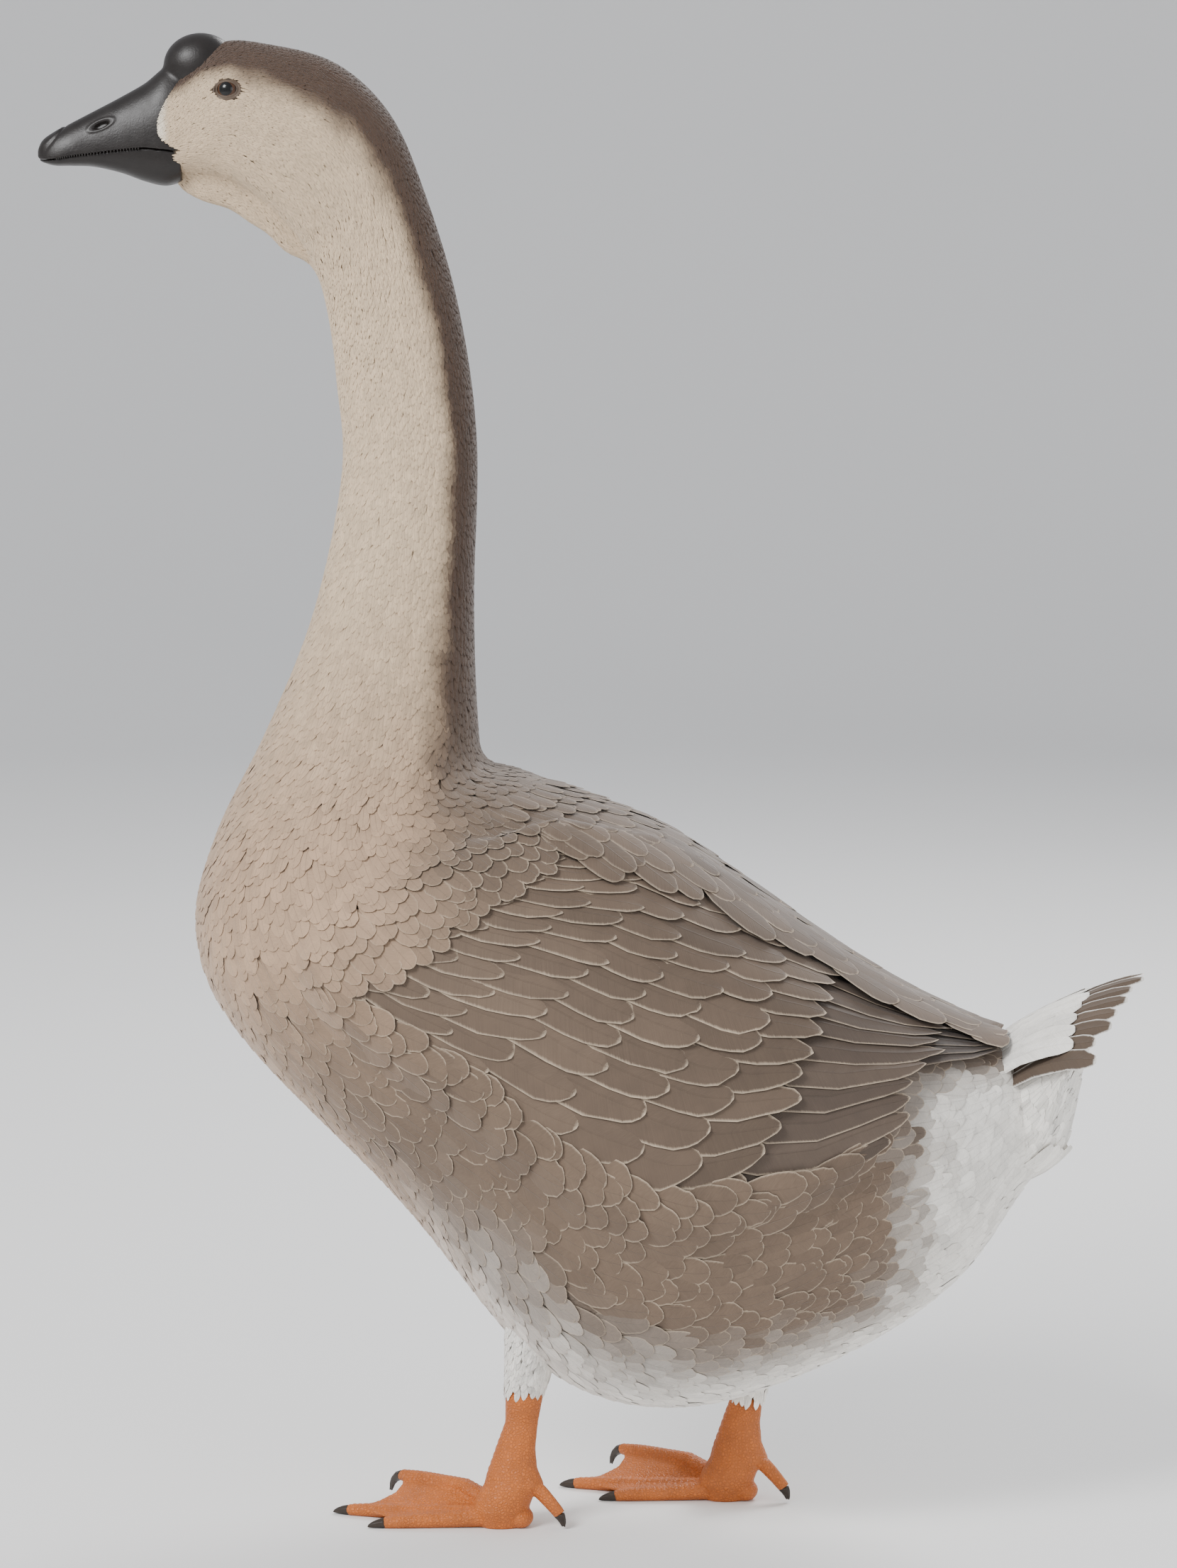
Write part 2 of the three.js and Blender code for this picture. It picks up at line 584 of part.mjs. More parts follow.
// Solid wedge that the tail feathers are rooted in.
function tailCore() {
  const [top, bottom] = [fanSurface(RECTRICES, 1), fanSurface(UNDER_TAIL_TIERS[2], -1)];
  const [rows, columns] = [4, 4];
  const grid = (surface, length) => Array.from({ length: rows + 1 }, (_, row) =>
    Array.from({ length: columns + 1 }, (_, column) =>
      surface((length * row) / rows, (2 * column) / columns - 1, -TAIL_CORE.sunk)));
  const root = trunkPiece(TAIL_CUT - 1, SECTIONS.length - 1);
  return fuse([root, plate(grid(top, TAIL_CORE.upper), grid(bottom, TAIL_CORE.lower))]);
}

// Room that the tail leaves to the primaries, and with that to the torso.
const wingRoom = (side) => {
  const surface = wingSurface(side);
  const grid = (rise) => Array.from({ length: 5 }, (_, row) => Array.from({ length: 7 }, (_, column) =>
    surface(lerp(WING_ROOM.from, WING_ROOM.to, row / 4), lerp(WING_ROOM.upper, WING_ROOM.lower, column / 6), rise)));
  return plate(grid(WING_ROOM.high), grid(WING_ROOM.low));
};
const tailClear = fuse([trunk(station.hip, TAIL_CUT, GAP), wingRoom(1), wingRoom(-1)]);

function tail() {
  return fuse([
    tailCore(),
    ...fan(RECTRICES),
    ...fan(UPPER_TAIL_COVERTS),
    ...UNDER_TAIL_TIERS.flatMap((tier) => fan(tier, -1)),
  ]).subtract(tailClear);
}

// ---------------------------------------------------------------- legs and feet

function oval(centre, long, wide, sides = 14) {
  return Array.from({ length: sides }, (_, side) => {
    const turn = (2 * Math.PI * side) / sides;
    return new THREE.Vector3(centre[0] + long * Math.cos(turn), centre[1] + wide * Math.sin(turn), centre[2]);
  });
}

// The right thigh is hidden in the belly but for a short cuff round the shank.
function thigh({ out, ankleX, hock, cuff }) {
  const sink = THIGH_SECTIONS[0].z - hock;
  const rings = THIGH_SECTIONS.map(({ z, behind, long, wide, apart }, index) =>
    oval([ankleX + cuff * behind, out * apart, z - sink + (index === 0 ? GAP : 0)], cuff * long, cuff * wide, 16));
  return loft(rings).subtract(trunkClear);
}

function shank({ out, ankleX, hock }) {
  const read = (z, field) => tableAt(SHANK_SECTIONS.toReversed(), "z", z, field);
  const heights = SHANK_SECTIONS.map(({ z }) => z).filter((z) => z < hock && z > ANKLE_HEIGHT);
  return loft([hock, ...heights, ANKLE_HEIGHT + GAP].map((z) =>
    oval([ankleX + read(z, "behind"), out * FOOT_APART, z], read(z, "long"), read(z, "wide"))));
}

// Foot places: ahead of the ankle, to the goose's left of it and up, turned into the goose's frame.
function footFrame({ out, ankleX }) {
  const turn = radians(TOES_TURNED);
  return (ahead, leftwards, up) => new THREE.Vector3(
    ankleX - ahead * Math.cos(turn) - leftwards * Math.sin(turn),
    out * FOOT_APART + ahead * Math.sin(turn) - leftwards * Math.cos(turn),
    up,
  );
}

// The three front toes of a foot, from the goose's left to its right.
function toesOf({ out, outerToe, innerToe }) {
  const outer = { name: "outer", turn: -out * outerToe[0], length: outerToe[1] };
  const middle = { name: "middle", turn: 0, length: MIDDLE_TOE };
  const inner = { name: "inner", turn: out * innerToe[0], length: innerToe[1] };
  const toes = out < 0 ? [outer, middle, inner] : [inner, middle, outer];
  return toes.map((toe, index) => ({ ...toe, lift: TOE_LIFT[index] }));
}

// Eight-sided tube along a toe, claw or hind toe. axis and radius are functions of the share along it.
function toeTube(axis, radius, steps, sides = 8, flatten = 0.85) {
  const rings = [];
  for (let step = 0; step <= steps; step++) {
    const share = step / steps;
    const [here, next] = share < 1 ? [axis(share), axis(share + 0.01)] : [axis(0.99), axis(1)];
    const ahead = next.clone().sub(here).normalize();
    const across = new THREE.Vector3(-ahead.y, ahead.x, 0).normalize();
    const up = new THREE.Vector3().crossVectors(ahead, across);
    rings.push(Array.from({ length: sides }, (_, side) => {
      const turn = (2 * Math.PI * (side + 0.5)) / sides;
      return axis(share)
        .addScaledVector(across, radius(share) * Math.cos(turn))
        .addScaledVector(up, radius(share) * flatten * Math.sin(turn));
    }));
  }
  return loft(rings);
}

const toeRadius = (share) =>
  lerp(TOE_ROOT_RADIUS, TOE_TIP_RADIUS, share)
  + 0.9 * TOE_JOINTS.reduce((sum, joint) => sum + Math.exp(-(((share - joint) / 0.07) ** 2)), 0);

const toeLift = (toe, share) => toe.lift * smooth(0, 0.5, share) + 1.6 * (1 - share) ** 2;

function toeAxis(place, { turn, length, lift }) {
  const [ahead, leftwards] = [Math.cos(radians(turn)), Math.sin(radians(turn))];
  return (share) => place(length * share * ahead, length * share * leftwards,
    toeRadius(share) * TOE_SET + toeLift({ lift }, share));
}

// Web between two neighbouring toes, with a scalloped front edge.
function web(place, first, second) {
  const rows = 4;
  const columns = 4;
  const grid = (drop) => Array.from({ length: rows + 1 }, (_, row) =>
    Array.from({ length: columns + 1 }, (_, column) => {
      const [along, across] = [row / rows, column / columns];
      const bow = 4 * across * (1 - across);
      const edge = lerp(first.length, second.length, across) * WEB.reach * (1 - WEB.scallop * bow);
      const reach = lerp(8, edge, along);
      const turn = radians(lerp(first.turn, second.turn, across));
      const lift = lerp(toeLift(first, along), toeLift(second, along), across);
      const height = lerp(WEB.height, WEB.tipHeight, along) + WEB.arch * bow * Math.sin(Math.PI * along);
      return place(reach * Math.cos(turn), reach * Math.sin(turn), height + lift - drop);
    }));
  return plate(grid(0), grid(WEB.thickness));
}

const hindToeAxis = (place) => (share) => {
  const [a, b, c] = HIND_TOE;
  const along = (k) => a[k] * (1 - share) ** 2 + 2 * share * (1 - share) * b[k] + share ** 2 * c[k];
  return place(-along(0), 0, along(1));
};

function foot(leg) {
  const place = footFrame(leg);
  const heel = place(-4, 0, 6);
  const [x, y] = [leg.ankleX, leg.out * FOOT_APART];
  const toes = toesOf(leg);
  const pieces = [
    ellipsoid(heel.toArray(), [8.5, 9.5, 7], 12, 8),
    loft([
      oval([x + 0.4, y, ANKLE_HEIGHT], 18, 13),
      oval([x - 5, y, 18], 17, 13.5),
      oval([x - 8, y, 10], 17, 13),
      oval([x - 8, y, 0], 12, 9),
    ]),
    toeTube(hindToeAxis(place), (share) => lerp(5.4, 3.8, share), 5, 8, 1)
      .trimByPlane([0, 0, -1], -ANKLE_HEIGHT),
    ...toes.map((toe) => toeTube(toeAxis(place, toe), toeRadius, 7)),
    web(place, toes[0], toes[1]),
    web(place, toes[1], toes[2]),
  ];
  return fuse(pieces).trimByPlane([0, 0, 1], 0);
}

// A claw that starts at the end face of its toe and curves down to its point.
function claw(axis, endRadius, drop, length) {
  const end = axis(1);
  const ahead = end.clone().sub(axis(0.97)).normalize();
  const line = (share) => end.clone()
    .addScaledVector(ahead, GAP + length * Math.sin(share * 1.3) / 1.3)
    .add(new THREE.Vector3(0, 0, -drop * share * share));
  return toeTube(line, (share) => endRadius * (1 - 0.88 * share ** 1.3), 4, 6, 0.9).trimByPlane([0, 0, 1], 0);
}

function clawsOf(leg) {
  const place = footFrame(leg);
  const made = toesOf(leg).map((toe) => {
    const axis = toeAxis(place, toe);
    return [toe.name, claw(axis, toeRadius(1) * 0.88, 0.7 * (axis(1).z - 1), CLAW_LENGTH)];
  });
  made.push(["hind", claw(hindToeAxis(place), 3.4, 4, 6)]);
  return made;
}

// ---------------------------------------------------------------- the goose

const knob = knobSolid().subtract(trunkClear);
const upperBill = mandible(true)
  .subtract(fuse([trunkClear, knobSolid(GAP), nostril(1), nostril(-1)]));
const lowerBill = mandible(false).subtract(trunkClear);
const head = fuse([trunkPiece(0, NECK_TOP), lids(1), lids(-1)])
  .subtract(fuse([eyeball(1, GAP), eyeball(-1, GAP)]));
const dewlapSolid = dewlap()
  .subtract(fuse([trunkClear, mandible(false, GAP)]));

const goose = new THREE.Group();
goose.name = "goose";

const headGroup = new THREE.Group();
headGroup.add(
  meshOf("head", head, PLUMAGE_PALE),
  meshOf("knob", knob, HORN_BLACK),
  meshOf("bill_upper", upperBill, HORN_BLACK),
  meshOf("bill_lower", lowerBill, HORN_BLACK),
  meshOf("eye_left", eyeball(-1), EYE_BROWN),
  meshOf("eye_right", eyeball(1), EYE_BROWN),
  meshOf("dewlap", dewlapSolid, DEWLAP_SKIN),
);
const bodyGroup = new THREE.Group();
bodyGroup.add(
  meshOf("neck_upper", trunkPiece(NECK_TOP, NECK_MIDDLE), PLUMAGE_PALE),
  meshOf("neck_lower", trunkPiece(NECK_MIDDLE, NECK_FOOT), PLUMAGE_PALE),
  meshOf("torso", trunkPiece(NECK_FOOT, TAIL_CUT), PLUMAGE_PALE),
  meshOf("tail", tail(), PLUMAGE_WHITE),
  meshOf("wing_left", wing(-1), PLUMAGE_BROWN),
  meshOf("wing_right", wing(1), PLUMAGE_BROWN),
);
goose.add(headGroup, bodyGroup);

for (const leg of LEGS) {
  const legGroup = new THREE.Group();
  legGroup.add(
    meshOf(`thigh_${leg.side}`, thigh(leg), PLUMAGE_WHITE),
    meshOf(`shank_${leg.side}`, shank(leg), LEG_ORANGE),
    meshOf(`foot_${leg.side}`, foot(leg), LEG_ORANGE),
  );
  for (const [toe, solid] of clawsOf(leg)) {
    legGroup.add(meshOf(`claw_${leg.side}_${toe}`, solid, CLAW_HORN));
  }
  goose.add(legGroup);
}

export default goose;
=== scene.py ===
"""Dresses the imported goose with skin, feathers, bill, eyes and legs on a plain stage, as an add-on."""

import math

import bpy
import numpy as np
from bpy.props import FloatProperty, FloatVectorProperty, IntProperty, PointerProperty
from mathutils import Matrix, Vector
from mathutils.bvhtree import BVHTree
from mathutils.kdtree import KDTree


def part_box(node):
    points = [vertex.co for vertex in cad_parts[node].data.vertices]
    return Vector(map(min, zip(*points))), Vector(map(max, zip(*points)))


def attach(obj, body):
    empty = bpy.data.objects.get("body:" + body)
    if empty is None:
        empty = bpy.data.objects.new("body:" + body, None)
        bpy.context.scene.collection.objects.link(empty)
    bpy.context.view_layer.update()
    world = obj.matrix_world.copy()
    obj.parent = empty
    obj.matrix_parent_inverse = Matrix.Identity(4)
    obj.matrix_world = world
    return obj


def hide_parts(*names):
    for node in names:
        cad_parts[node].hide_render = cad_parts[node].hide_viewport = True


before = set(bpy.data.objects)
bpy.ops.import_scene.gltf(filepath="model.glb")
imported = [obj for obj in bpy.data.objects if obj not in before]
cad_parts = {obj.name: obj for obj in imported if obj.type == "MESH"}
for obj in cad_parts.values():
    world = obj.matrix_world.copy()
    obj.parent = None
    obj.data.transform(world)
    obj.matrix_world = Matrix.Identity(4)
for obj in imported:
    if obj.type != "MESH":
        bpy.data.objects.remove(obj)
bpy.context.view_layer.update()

bl_info = {
    "name": "Goose dresser",
    "version": (1, 0, 0),
    "blender": (4, 5, 0),
    "location": "3D View > Sidebar > Goose",
    "description": "Models the skin, feathers, bill, eyes and legs of a domestic goose over its solids",
    "category": "Object",
}

MM = 0.001
BODY = "root"
SIDES = {"left": -1, "right": 1}
IMAGE_HEIGHT = 2212  # pixels of a rendered image
FOCUS_PIXELS = 7080  # focal length of the camera in those pixels

# Rows round the body, from the bill's base to the root of the tail: where each row crosses the middle of the
# back and of the front, (x, z), its half width, and how much broader it is towards the back, as a share. A
# place along the body is a number of these rows, or a number between them. Millimetres.
ROWS = [
    ((-262, 852), (-269, 809), 15, -0.05),  # 0 bill base
    ((-247, 864), (-247, 808), 22.5, -0.1),  # 1 forehead
    ((-222, 884), (-219, 804), 28.5, -0.12),  # 2 eye
    ((-192, 883), (-197, 791), 31.5, -0.12),  # 3 crown
    ((-153, 872), (-177, 771), 31.5, -0.08),  # 4 nape
    ((-122, 843), (-165, 749), 30.5, 0),  # 5 throat
    ((-102, 798), (-158, 720), 31, 0),  # 6 upper neck
    ((-82, 731), (-154, 685), 33, 0),  # 7 neck bend
    ((-71, 651), (-151, 632), 35.5, 0),  # 8 middle of the neck
    ((-73, 558), (-168, 550), 42, -0.02),  # 9 lower neck
    ((-71, 487), (-197, 478), 57, -0.04),  # 10 neck root
    ((-66, 461), (-228, 415), 79, -0.05),  # 11 crop
    ((-43, 453), (-240, 357), 98, -0.04),  # 12 breast
    ((-6, 437), (-214, 296), 115, 0),  # 13 shoulder
    ((43, 408.5), (-118.5, 196), 126, 0.02),  # 14 keel
    ((90, 374.5), (-33, 94), 130, 0),  # 15 hip
    ((133, 343.5), (51, 69.5), 122, -0.02),  # 16 paunch
    ((175, 317.5), (145, 99), 99, 0),  # 17 vent
    ((214, 300), (215, 144), 71, 0.04),  # 18 rear of the belly
    ((241, 291), (255, 198), 44, 0.08),  # 19 rump
    ((258, 284), (275, 223), 24, 0.1),  # 20 tail root
]
FULLNESS = 2.25  # exponent of a row's oval
TRUNK_NODES = ("head", "neck_upper", "neck_lower", "torso", "tail")
GRID_PER_ROW = 10
GRID_ROUND = 240
DEWLAP_END = 5.4  # place where the dewlap has run out into the neck

# The folded wing lies on the body between two edges, given as degrees from the middle of the back. A share
# along the wing runs from its front to its tip, and a share across it from its upper edge to its lower one.
WING_FRONT = 12.5
WING_TIP = 19.12
WING_EDGES = {
    "place": [12.5, 13, 14, 15, 16, 17, 18, 19.12],
    "upper": [58, 34, 13, 5, 3, 3, 4, 6],
    "lower": [108, 113, 106, 97, 86, 75, 61, 48],
}

# Heights over the body of the uppermost feathers, and how much lower the wing is at its tip. Millimetres.
WING_HEIGHT = 9.9
WING_FALL = 3.4
MANTLE_HEIGHT = 8.6

# Arched fans of the tail. Each curve runs root, middle, tip as (x, y, z), in the middle and at the side of
# the fan. Millimetres.
RECTRICES = {
    "middle": [(222, 0, 265), (272, 0, 308), (329, 0, 331)],
    "side": [(226, 22, 256), (260, 42, 282), (292.5, 60, 290)],
}
UPPER_TAIL_COVERTS = {
    "middle": [(228, 0, 282.5), (258, 0, 304), (296, 0, 322)],
    "side": [(226, 24, 268), (252, 36, 288), (280, 46, 297)],
}
LOWEST_TAIL_COVERTS = {
    "middle": [(236, 0, 203), (266, 0, 208), (291, 0, 230)],
    "side": [(232, 24, 209), (251, 33, 217), (269, 36, 233)],
}

# Flesh of the tail: how far each row reaches along the tail feathers over it, and where it ends below, in
# the middle and at the side. The rows run back to the lowest coverts, then up towards the tip. Millimetres.
TAIL_FLESH = {
    "share": [0, 0.22, 0.42, 0.58, 0.7, 0.8],
    "middle": [(236, 0, 203), (264, 0, 207), (284, 0, 225), (292, 0, 260), (298, 0, 287), (307, 0, 307)],
    "side": [(232, 24, 209), (250, 33, 215), (265, 36, 231), (272, 40, 250), (276, 46, 268), (280, 50, 279)],
}
TAIL_TOP = 30  # grid points across the top, and across the bottom
TAIL_SIDE = 16  # grid points down each side

# Bill sections: x, heights of its crest, mouth and chin, and half widths of its upper and lower part.
# Millimetres.
BILL = [
    (-329, 821, 817.5, 816, 2.5, 0.5),
    (-326, 827, 815.8, 814.2, 7, 4.5),
    (-319, 832, 816.2, 812.3, 10.5, 8.5),
    (-309, 837.5, 818, 812.2, 12.5, 10.8),
    (-296, 844.2, 819.5, 811.6, 13.8, 12.2),
    (-280, 852.5, 821.5, 808, 16, 14),
    (-266, 860.5, 822.5, 803, 18, 15.8),
    (-254, 870, 821.5, 800.5, 19.5, 17),
    (-244, 872, 820.5, 803, 19.5, 17),
]
NOSTRIL = {"x": -291, "z": 836, "long": 11, "high": 3.8, "deep": 2.6, "slope": 0.42}
NAIL = {"x": -321.5, "long": 8.5, "wide": 7.5}  # half of its length and of its width
KNOB = {"centre": (-232.8, 0, 870.4), "half": (22.2, 16, 19.6)}
EYE = {"x": -215, "z": 856, "y": 22.8, "radius": 7.2}  # y is its distance from the middle of the head
EYE_CLEAR = {"root": 7.4, "tip": 6.9}  # least distances of feathers from the middle of the eye
EYE_OPENING = {"long": 5.45, "high": 4.25}  # half of its length and of its height

# Feathered thigh from the top to the hock: height, how far it lies behind the ankle, half length and half
# width, and its distance from the middle. Millimetres.
THIGH = [
    (172, 26, 30, 32, 55),
    (145, 20, 25, 26, 47),
    (120, 14, 19.5, 20, 40),
    (100, 10, 15.5, 14.5, 35),
    (84, 7, 13, 11, 32),
]
# Side of the goose, x of the ankle, height of the hock, and size of the thigh as a share of the rows above.
LEGS = {
    "left": {"out": -1, "ankle": -50, "hock": 84, "size": 1.0},
    "right": {"out": 1, "ankle": 87, "hock": 64, "size": 0.86},
}
FOOT_APART = 32  # from the middle of the goose to each ankle
FOOT_TURN = math.radians(15)  # both feet point to the goose's right
TOES = (18, 0, -26)  # degrees to the goose's left of straight ahead
PLATES = {"toe": 3.4, "shank": 4.2}  # lengths of the plates of horn, in millimetres

# Where each surface lies on the flat unwrap that skin and feathers share: u and v of two corners.
BAKE_BOXES = {
    "trunk": (0.01, 0.3, 0.97, 0.99),
    "tail": (0.34, 0.13, 0.97, 0.28),
    "thigh_left": (0.01, 0.01, 0.15, 0.12),
    "thigh_right": (0.17, 0.01, 0.31, 0.12),
    "rectrices": (0.34, 0.01, 0.5, 0.12),
    "upper_coverts": (0.52, 0.01, 0.66, 0.12),
    "lowest_coverts": (0.68, 0.01, 0.97, 0.12),
}


def measure(name, description, default):
    return FloatProperty(name=name, description=description, default=default, unit="LENGTH")


def colour(name, description, default):
    return FloatVectorProperty(
        name=name, description=description, default=default, subtype="COLOR", size=3, min=0, max=1
    )


class GooseSizes(bpy.types.PropertyGroup):
    """Sizes of the coat, the meshes and the stage"""

    coat_head: measure("Coat on the head", "Depth of the feathers there", 0.5 * MM)
    coat_neck: measure("Coat on the neck", "Depth of the feathers there", 1.0 * MM)
    coat_body: measure("Coat on the body", "Depth of the feathers there", 2.2 * MM)
    skin_voxel: measure("Skin mesh", "Size of the skin's faces", 2.9 * MM)
    foot_voxel: measure("Foot mesh", "Size of the faces of shanks and feet", 0.8 * MM)
    camera_distance: measure("Camera distance", "From the camera to the point that it aims at", 3.0)
    aim_height: measure("Aim height", "Height of the point that the camera aims at", 445.5 * MM)
    aim_ahead: measure("Aim ahead", "How far that point lies ahead of the middle", 4.9 * MM)
    camera_rise: FloatProperty(
        name="Camera elevation", description="How far the camera looks down", default=math.radians(6.5),
        unit="ROTATION",
    )
    seed: IntProperty(name="Seed", description="Start of the random draws for feathers", default=11)


class GooseColours(bpy.types.PropertyGroup):
    """Colours of the plumage, horn and legs"""

    crown: colour("Crown", "Crown and the stripe down the back of the neck", (0.05, 0.026, 0.016))
    band: colour("Face band", "Narrow band behind the bill", (0.74, 0.66, 0.53))
    cheek: colour("Cheek", "Cheeks, dewlap and front of the neck", (0.56, 0.425, 0.285))
    breast: colour("Breast", "Breast and lower neck", (0.41, 0.275, 0.18))
    back: colour("Back", "Back, wings and flanks", (0.125, 0.088, 0.062))
    flight: colour("Flight feathers", "Primaries and the inner parts of the tail", (0.06, 0.046, 0.038))
    edge: colour("Feather edges", "Pale edges of the brown feathers", (0.47, 0.375, 0.275))
    white: colour("Belly", "Belly, vent and tail coverts", (0.83, 0.8, 0.74))
    horn: colour("Bill", "Bill and knob", (0.013, 0.0105, 0.0095))
    leg: colour("Legs", "Shanks, toes and webs", (0.56, 0.15, 0.025))
    mouth: colour("Mouth", "Flesh inside the mouth", (0.02, 0.01, 0.009))
    claw: colour("Claws", "Claws", (0.035, 0.026, 0.02))
    iris: colour("Iris", "Ring round the pupil", (0.06, 0.024, 0.01))
    lid: colour("Lids", "Bare rim of the lids", (0.11, 0.075, 0.05))
    floor: colour("Floor", "Floor and backdrop", (0.86, 0.855, 0.845))


# ---------------------------------------------------------------- shader nodes


class Value:
    """A shader socket that takes part in Python expressions. Each operation adds its own Math node."""

    def __init__(self, shader, socket):
        self.shader = shader
        self.socket = socket

    def maths(self, operation, *values):
        return self.shader.node("ShaderNodeMath", {"operation": operation}, values)

    def __add__(self, other):
        return self.maths("ADD", self, other)

    def __sub__(self, other):
        return self.maths("SUBTRACT", self, other)

    def __rsub__(self, other):
        return self.maths("SUBTRACT", other, self)

    def __mul__(self, other):
        return self.maths("MULTIPLY", self, other)

    def __truediv__(self, other):
        return self.maths("DIVIDE", self, other)

    def __abs__(self):
        return self.maths("ABSOLUTE", self)

    __radd__ = __add__
    __rmul__ = __mul__

    def larger(self, other):
        return self.maths("MAXIMUM", self, other)

    def smooth(self, low, high):
        """0 below low and 1 above high, with a smooth step between."""
        settings = {"interpolation_type": "SMOOTHSTEP"}
        return self.shader.node("ShaderNodeMapRange", settings, (self, low, high, 0.0, 1.0))


class Shader:
    """A material under construction round one Principled shader."""

    def __init__(self, name):
        self.material = bpy.data.materials.new(name)
        self.material.use_nodes = True
        self.tree = self.material.node_tree
        self.principled = self.tree.nodes["Principled BSDF"]

    def node(self, kind, settings, values=(), output=0):
        """Adds a node. Values or links go to its sockets in order, or by the names or numbers in a dict."""
        made = self.tree.nodes.new(kind)
        for key, value in settings.items():
            setattr(made, key, value)
        for key, value in values.items() if isinstance(values, dict) else enumerate(values):
            self.feed(made.inputs[key], value)
        return Value(self, made.outputs[output])

    def feed(self, socket, value):
        if isinstance(value, Value):
            self.tree.links.new(value.socket, socket)
        else:
            socket.default_value = value

    def place(self):
        return self.node("ShaderNodeTexCoord", {}, output="Object")

    def attribute(self, name, output="Color"):
        return self.node("ShaderNodeAttribute", {"attribute_name": name}, output=output)

    def axes(self, vector):
        """The three numbers of a vector or colour."""
        first = self.node("ShaderNodeSeparateXYZ", {}, [vector])
        return [Value(self, socket) for socket in first.socket.node.outputs]

    def noise(self, place, scale, detail=3.0):
        values = {"Vector": place, "Scale": scale, "Detail": detail, "Roughness": 0.55}
        return self.node("ShaderNodeTexNoise", {}, values, "Fac")

    def cells(self, place, scale):
        """Distance to the nearest edge between rounded cells."""
        settings = {"feature": "DISTANCE_TO_EDGE"}
        return self.node("ShaderNodeTexVoronoi", settings, {"Vector": place, "Scale": scale}, "Distance")

    def blend(self, mask, first, second, way="MIX"):
        """A mix of two colours. Its colour sockets come after those for numbers and vectors."""
        settings = {"data_type": "RGBA", "blend_type": way}
        return self.node("ShaderNodeMix", settings, {0: mask, 6: rgba(first), 7: rgba(second)}, 2)

    def shade(self, tint, amount):
        """tint made lighter or darker by amount, a value round 1."""
        grey = self.node("ShaderNodeCombineColor", {}, [amount] * 3)
        return self.blend(1.0, tint, grey, "MULTIPLY")

    def finish(self, base, roughness, height=None, depth=0.0, **fixed):
        self.feed(self.principled.inputs["Base Color"], rgba(base))
        self.feed(self.principled.inputs["Roughness"], roughness)
        if height is not None:
            bump = self.node("ShaderNodeBump", {}, {"Height": height, "Distance": depth, "Strength": 1.0})
            self.feed(self.principled.inputs["Normal"], bump)
        for key, value in fixed.items():
            self.principled.inputs[key.replace("_", " ")].default_value = value
        return self.material


def rgba(tint):
    return tint if isinstance(tint, Value) else (*tint, 1.0)


# ---------------------------------------------------------------- meshes


def deselect():
    if bpy.context.object and bpy.context.object.mode != "OBJECT":
        bpy.ops.object.mode_set(mode="OBJECT")
    bpy.ops.object.select_all(action="DESELECT")


def take_up(*objects):
    """Selects these objects alone, and makes the first one active."""
    deselect()
    for piece in objects:
        piece.select_set(True)
    bpy.context.view_layer.objects.active = objects[0]
    return objects[0]


def modify(piece, kind, **settings):
    """Adds a modifier and applies it."""
    take_up(piece)
    modifier = piece.modifiers.new(kind.title(), kind)
    for key, value in settings.items():
        setattr(modifier, key, value)
    bpy.ops.object.modifier_apply(modifier=modifier.name)
    return piece


def settle(piece):
    """Moves a piece's place, turn and scale into its mesh."""
    take_up(piece)
    bpy.ops.object.transform_apply(location=True, rotation=True, scale=True)
    return piece


def shade_smooth(piece):
    take_up(piece)
    bpy.ops.object.shade_smooth()
    return piece


def fused(piece, size, passes=0):
    """Makes a piece one even mesh with faces of this size, and softens it."""
    modify(piece, "REMESH", mode="VOXEL", voxel_size=size)
    if passes:
        modify(piece, "SMOOTH", factor=0.5, iterations=passes)
    return shade_smooth(piece)


def hand_over(piece, slot, *nodes, material):
    """Rides a finished piece on the frame."""
    piece.data.materials.clear()
    piece.data.materials.append(material)
    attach(piece, BODY)
    if nodes:
        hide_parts(*nodes)


def copy_of(name, *nodes):
    """One welded mesh object with the faces of these CAD nodes."""
    copies = []
    for node in nodes:
        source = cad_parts[node]
        piece = bpy.data.objects.new(name, source.data.copy())
        piece.data.transform(source.matrix_world)
        bpy.context.collection.objects.link(piece)
        copies.append(piece)
    joined = take_up(*copies)
    if len(copies) > 1:
        bpy.ops.object.join()
    joined.name = name
    joined.data.materials.clear()
    bpy.ops.object.mode_set(mode="EDIT")
    bpy.ops.mesh.select_all(action="SELECT")
    bpy.ops.mesh.remove_doubles(threshold=0.01 * MM)
    bpy.ops.object.mode_set(mode="OBJECT")
    return joined


def object_of(name, points, triangles):
    mesh = bpy.data.meshes.new(name)
    mesh.vertices.add(len(points))
    mesh.vertices.foreach_set("co", np.ascontiguousarray(points, dtype=np.float32).ravel())
    mesh.loops.add(triangles.size)
    mesh.loops.foreach_set("vertex_index", np.ascontiguousarray(triangles, dtype=np.int32).ravel())
    mesh.polygons.add(len(triangles))
    mesh.polygons.foreach_set("loop_start", np.arange(0, triangles.size, 3, dtype=np.int32))
    mesh.update(calc_edges=True)
    mesh.polygons.foreach_set("use_smooth", np.ones(len(triangles), dtype=bool))
    piece = bpy.data.objects.new(name, mesh)
    bpy.context.collection.objects.link(piece)
    return piece


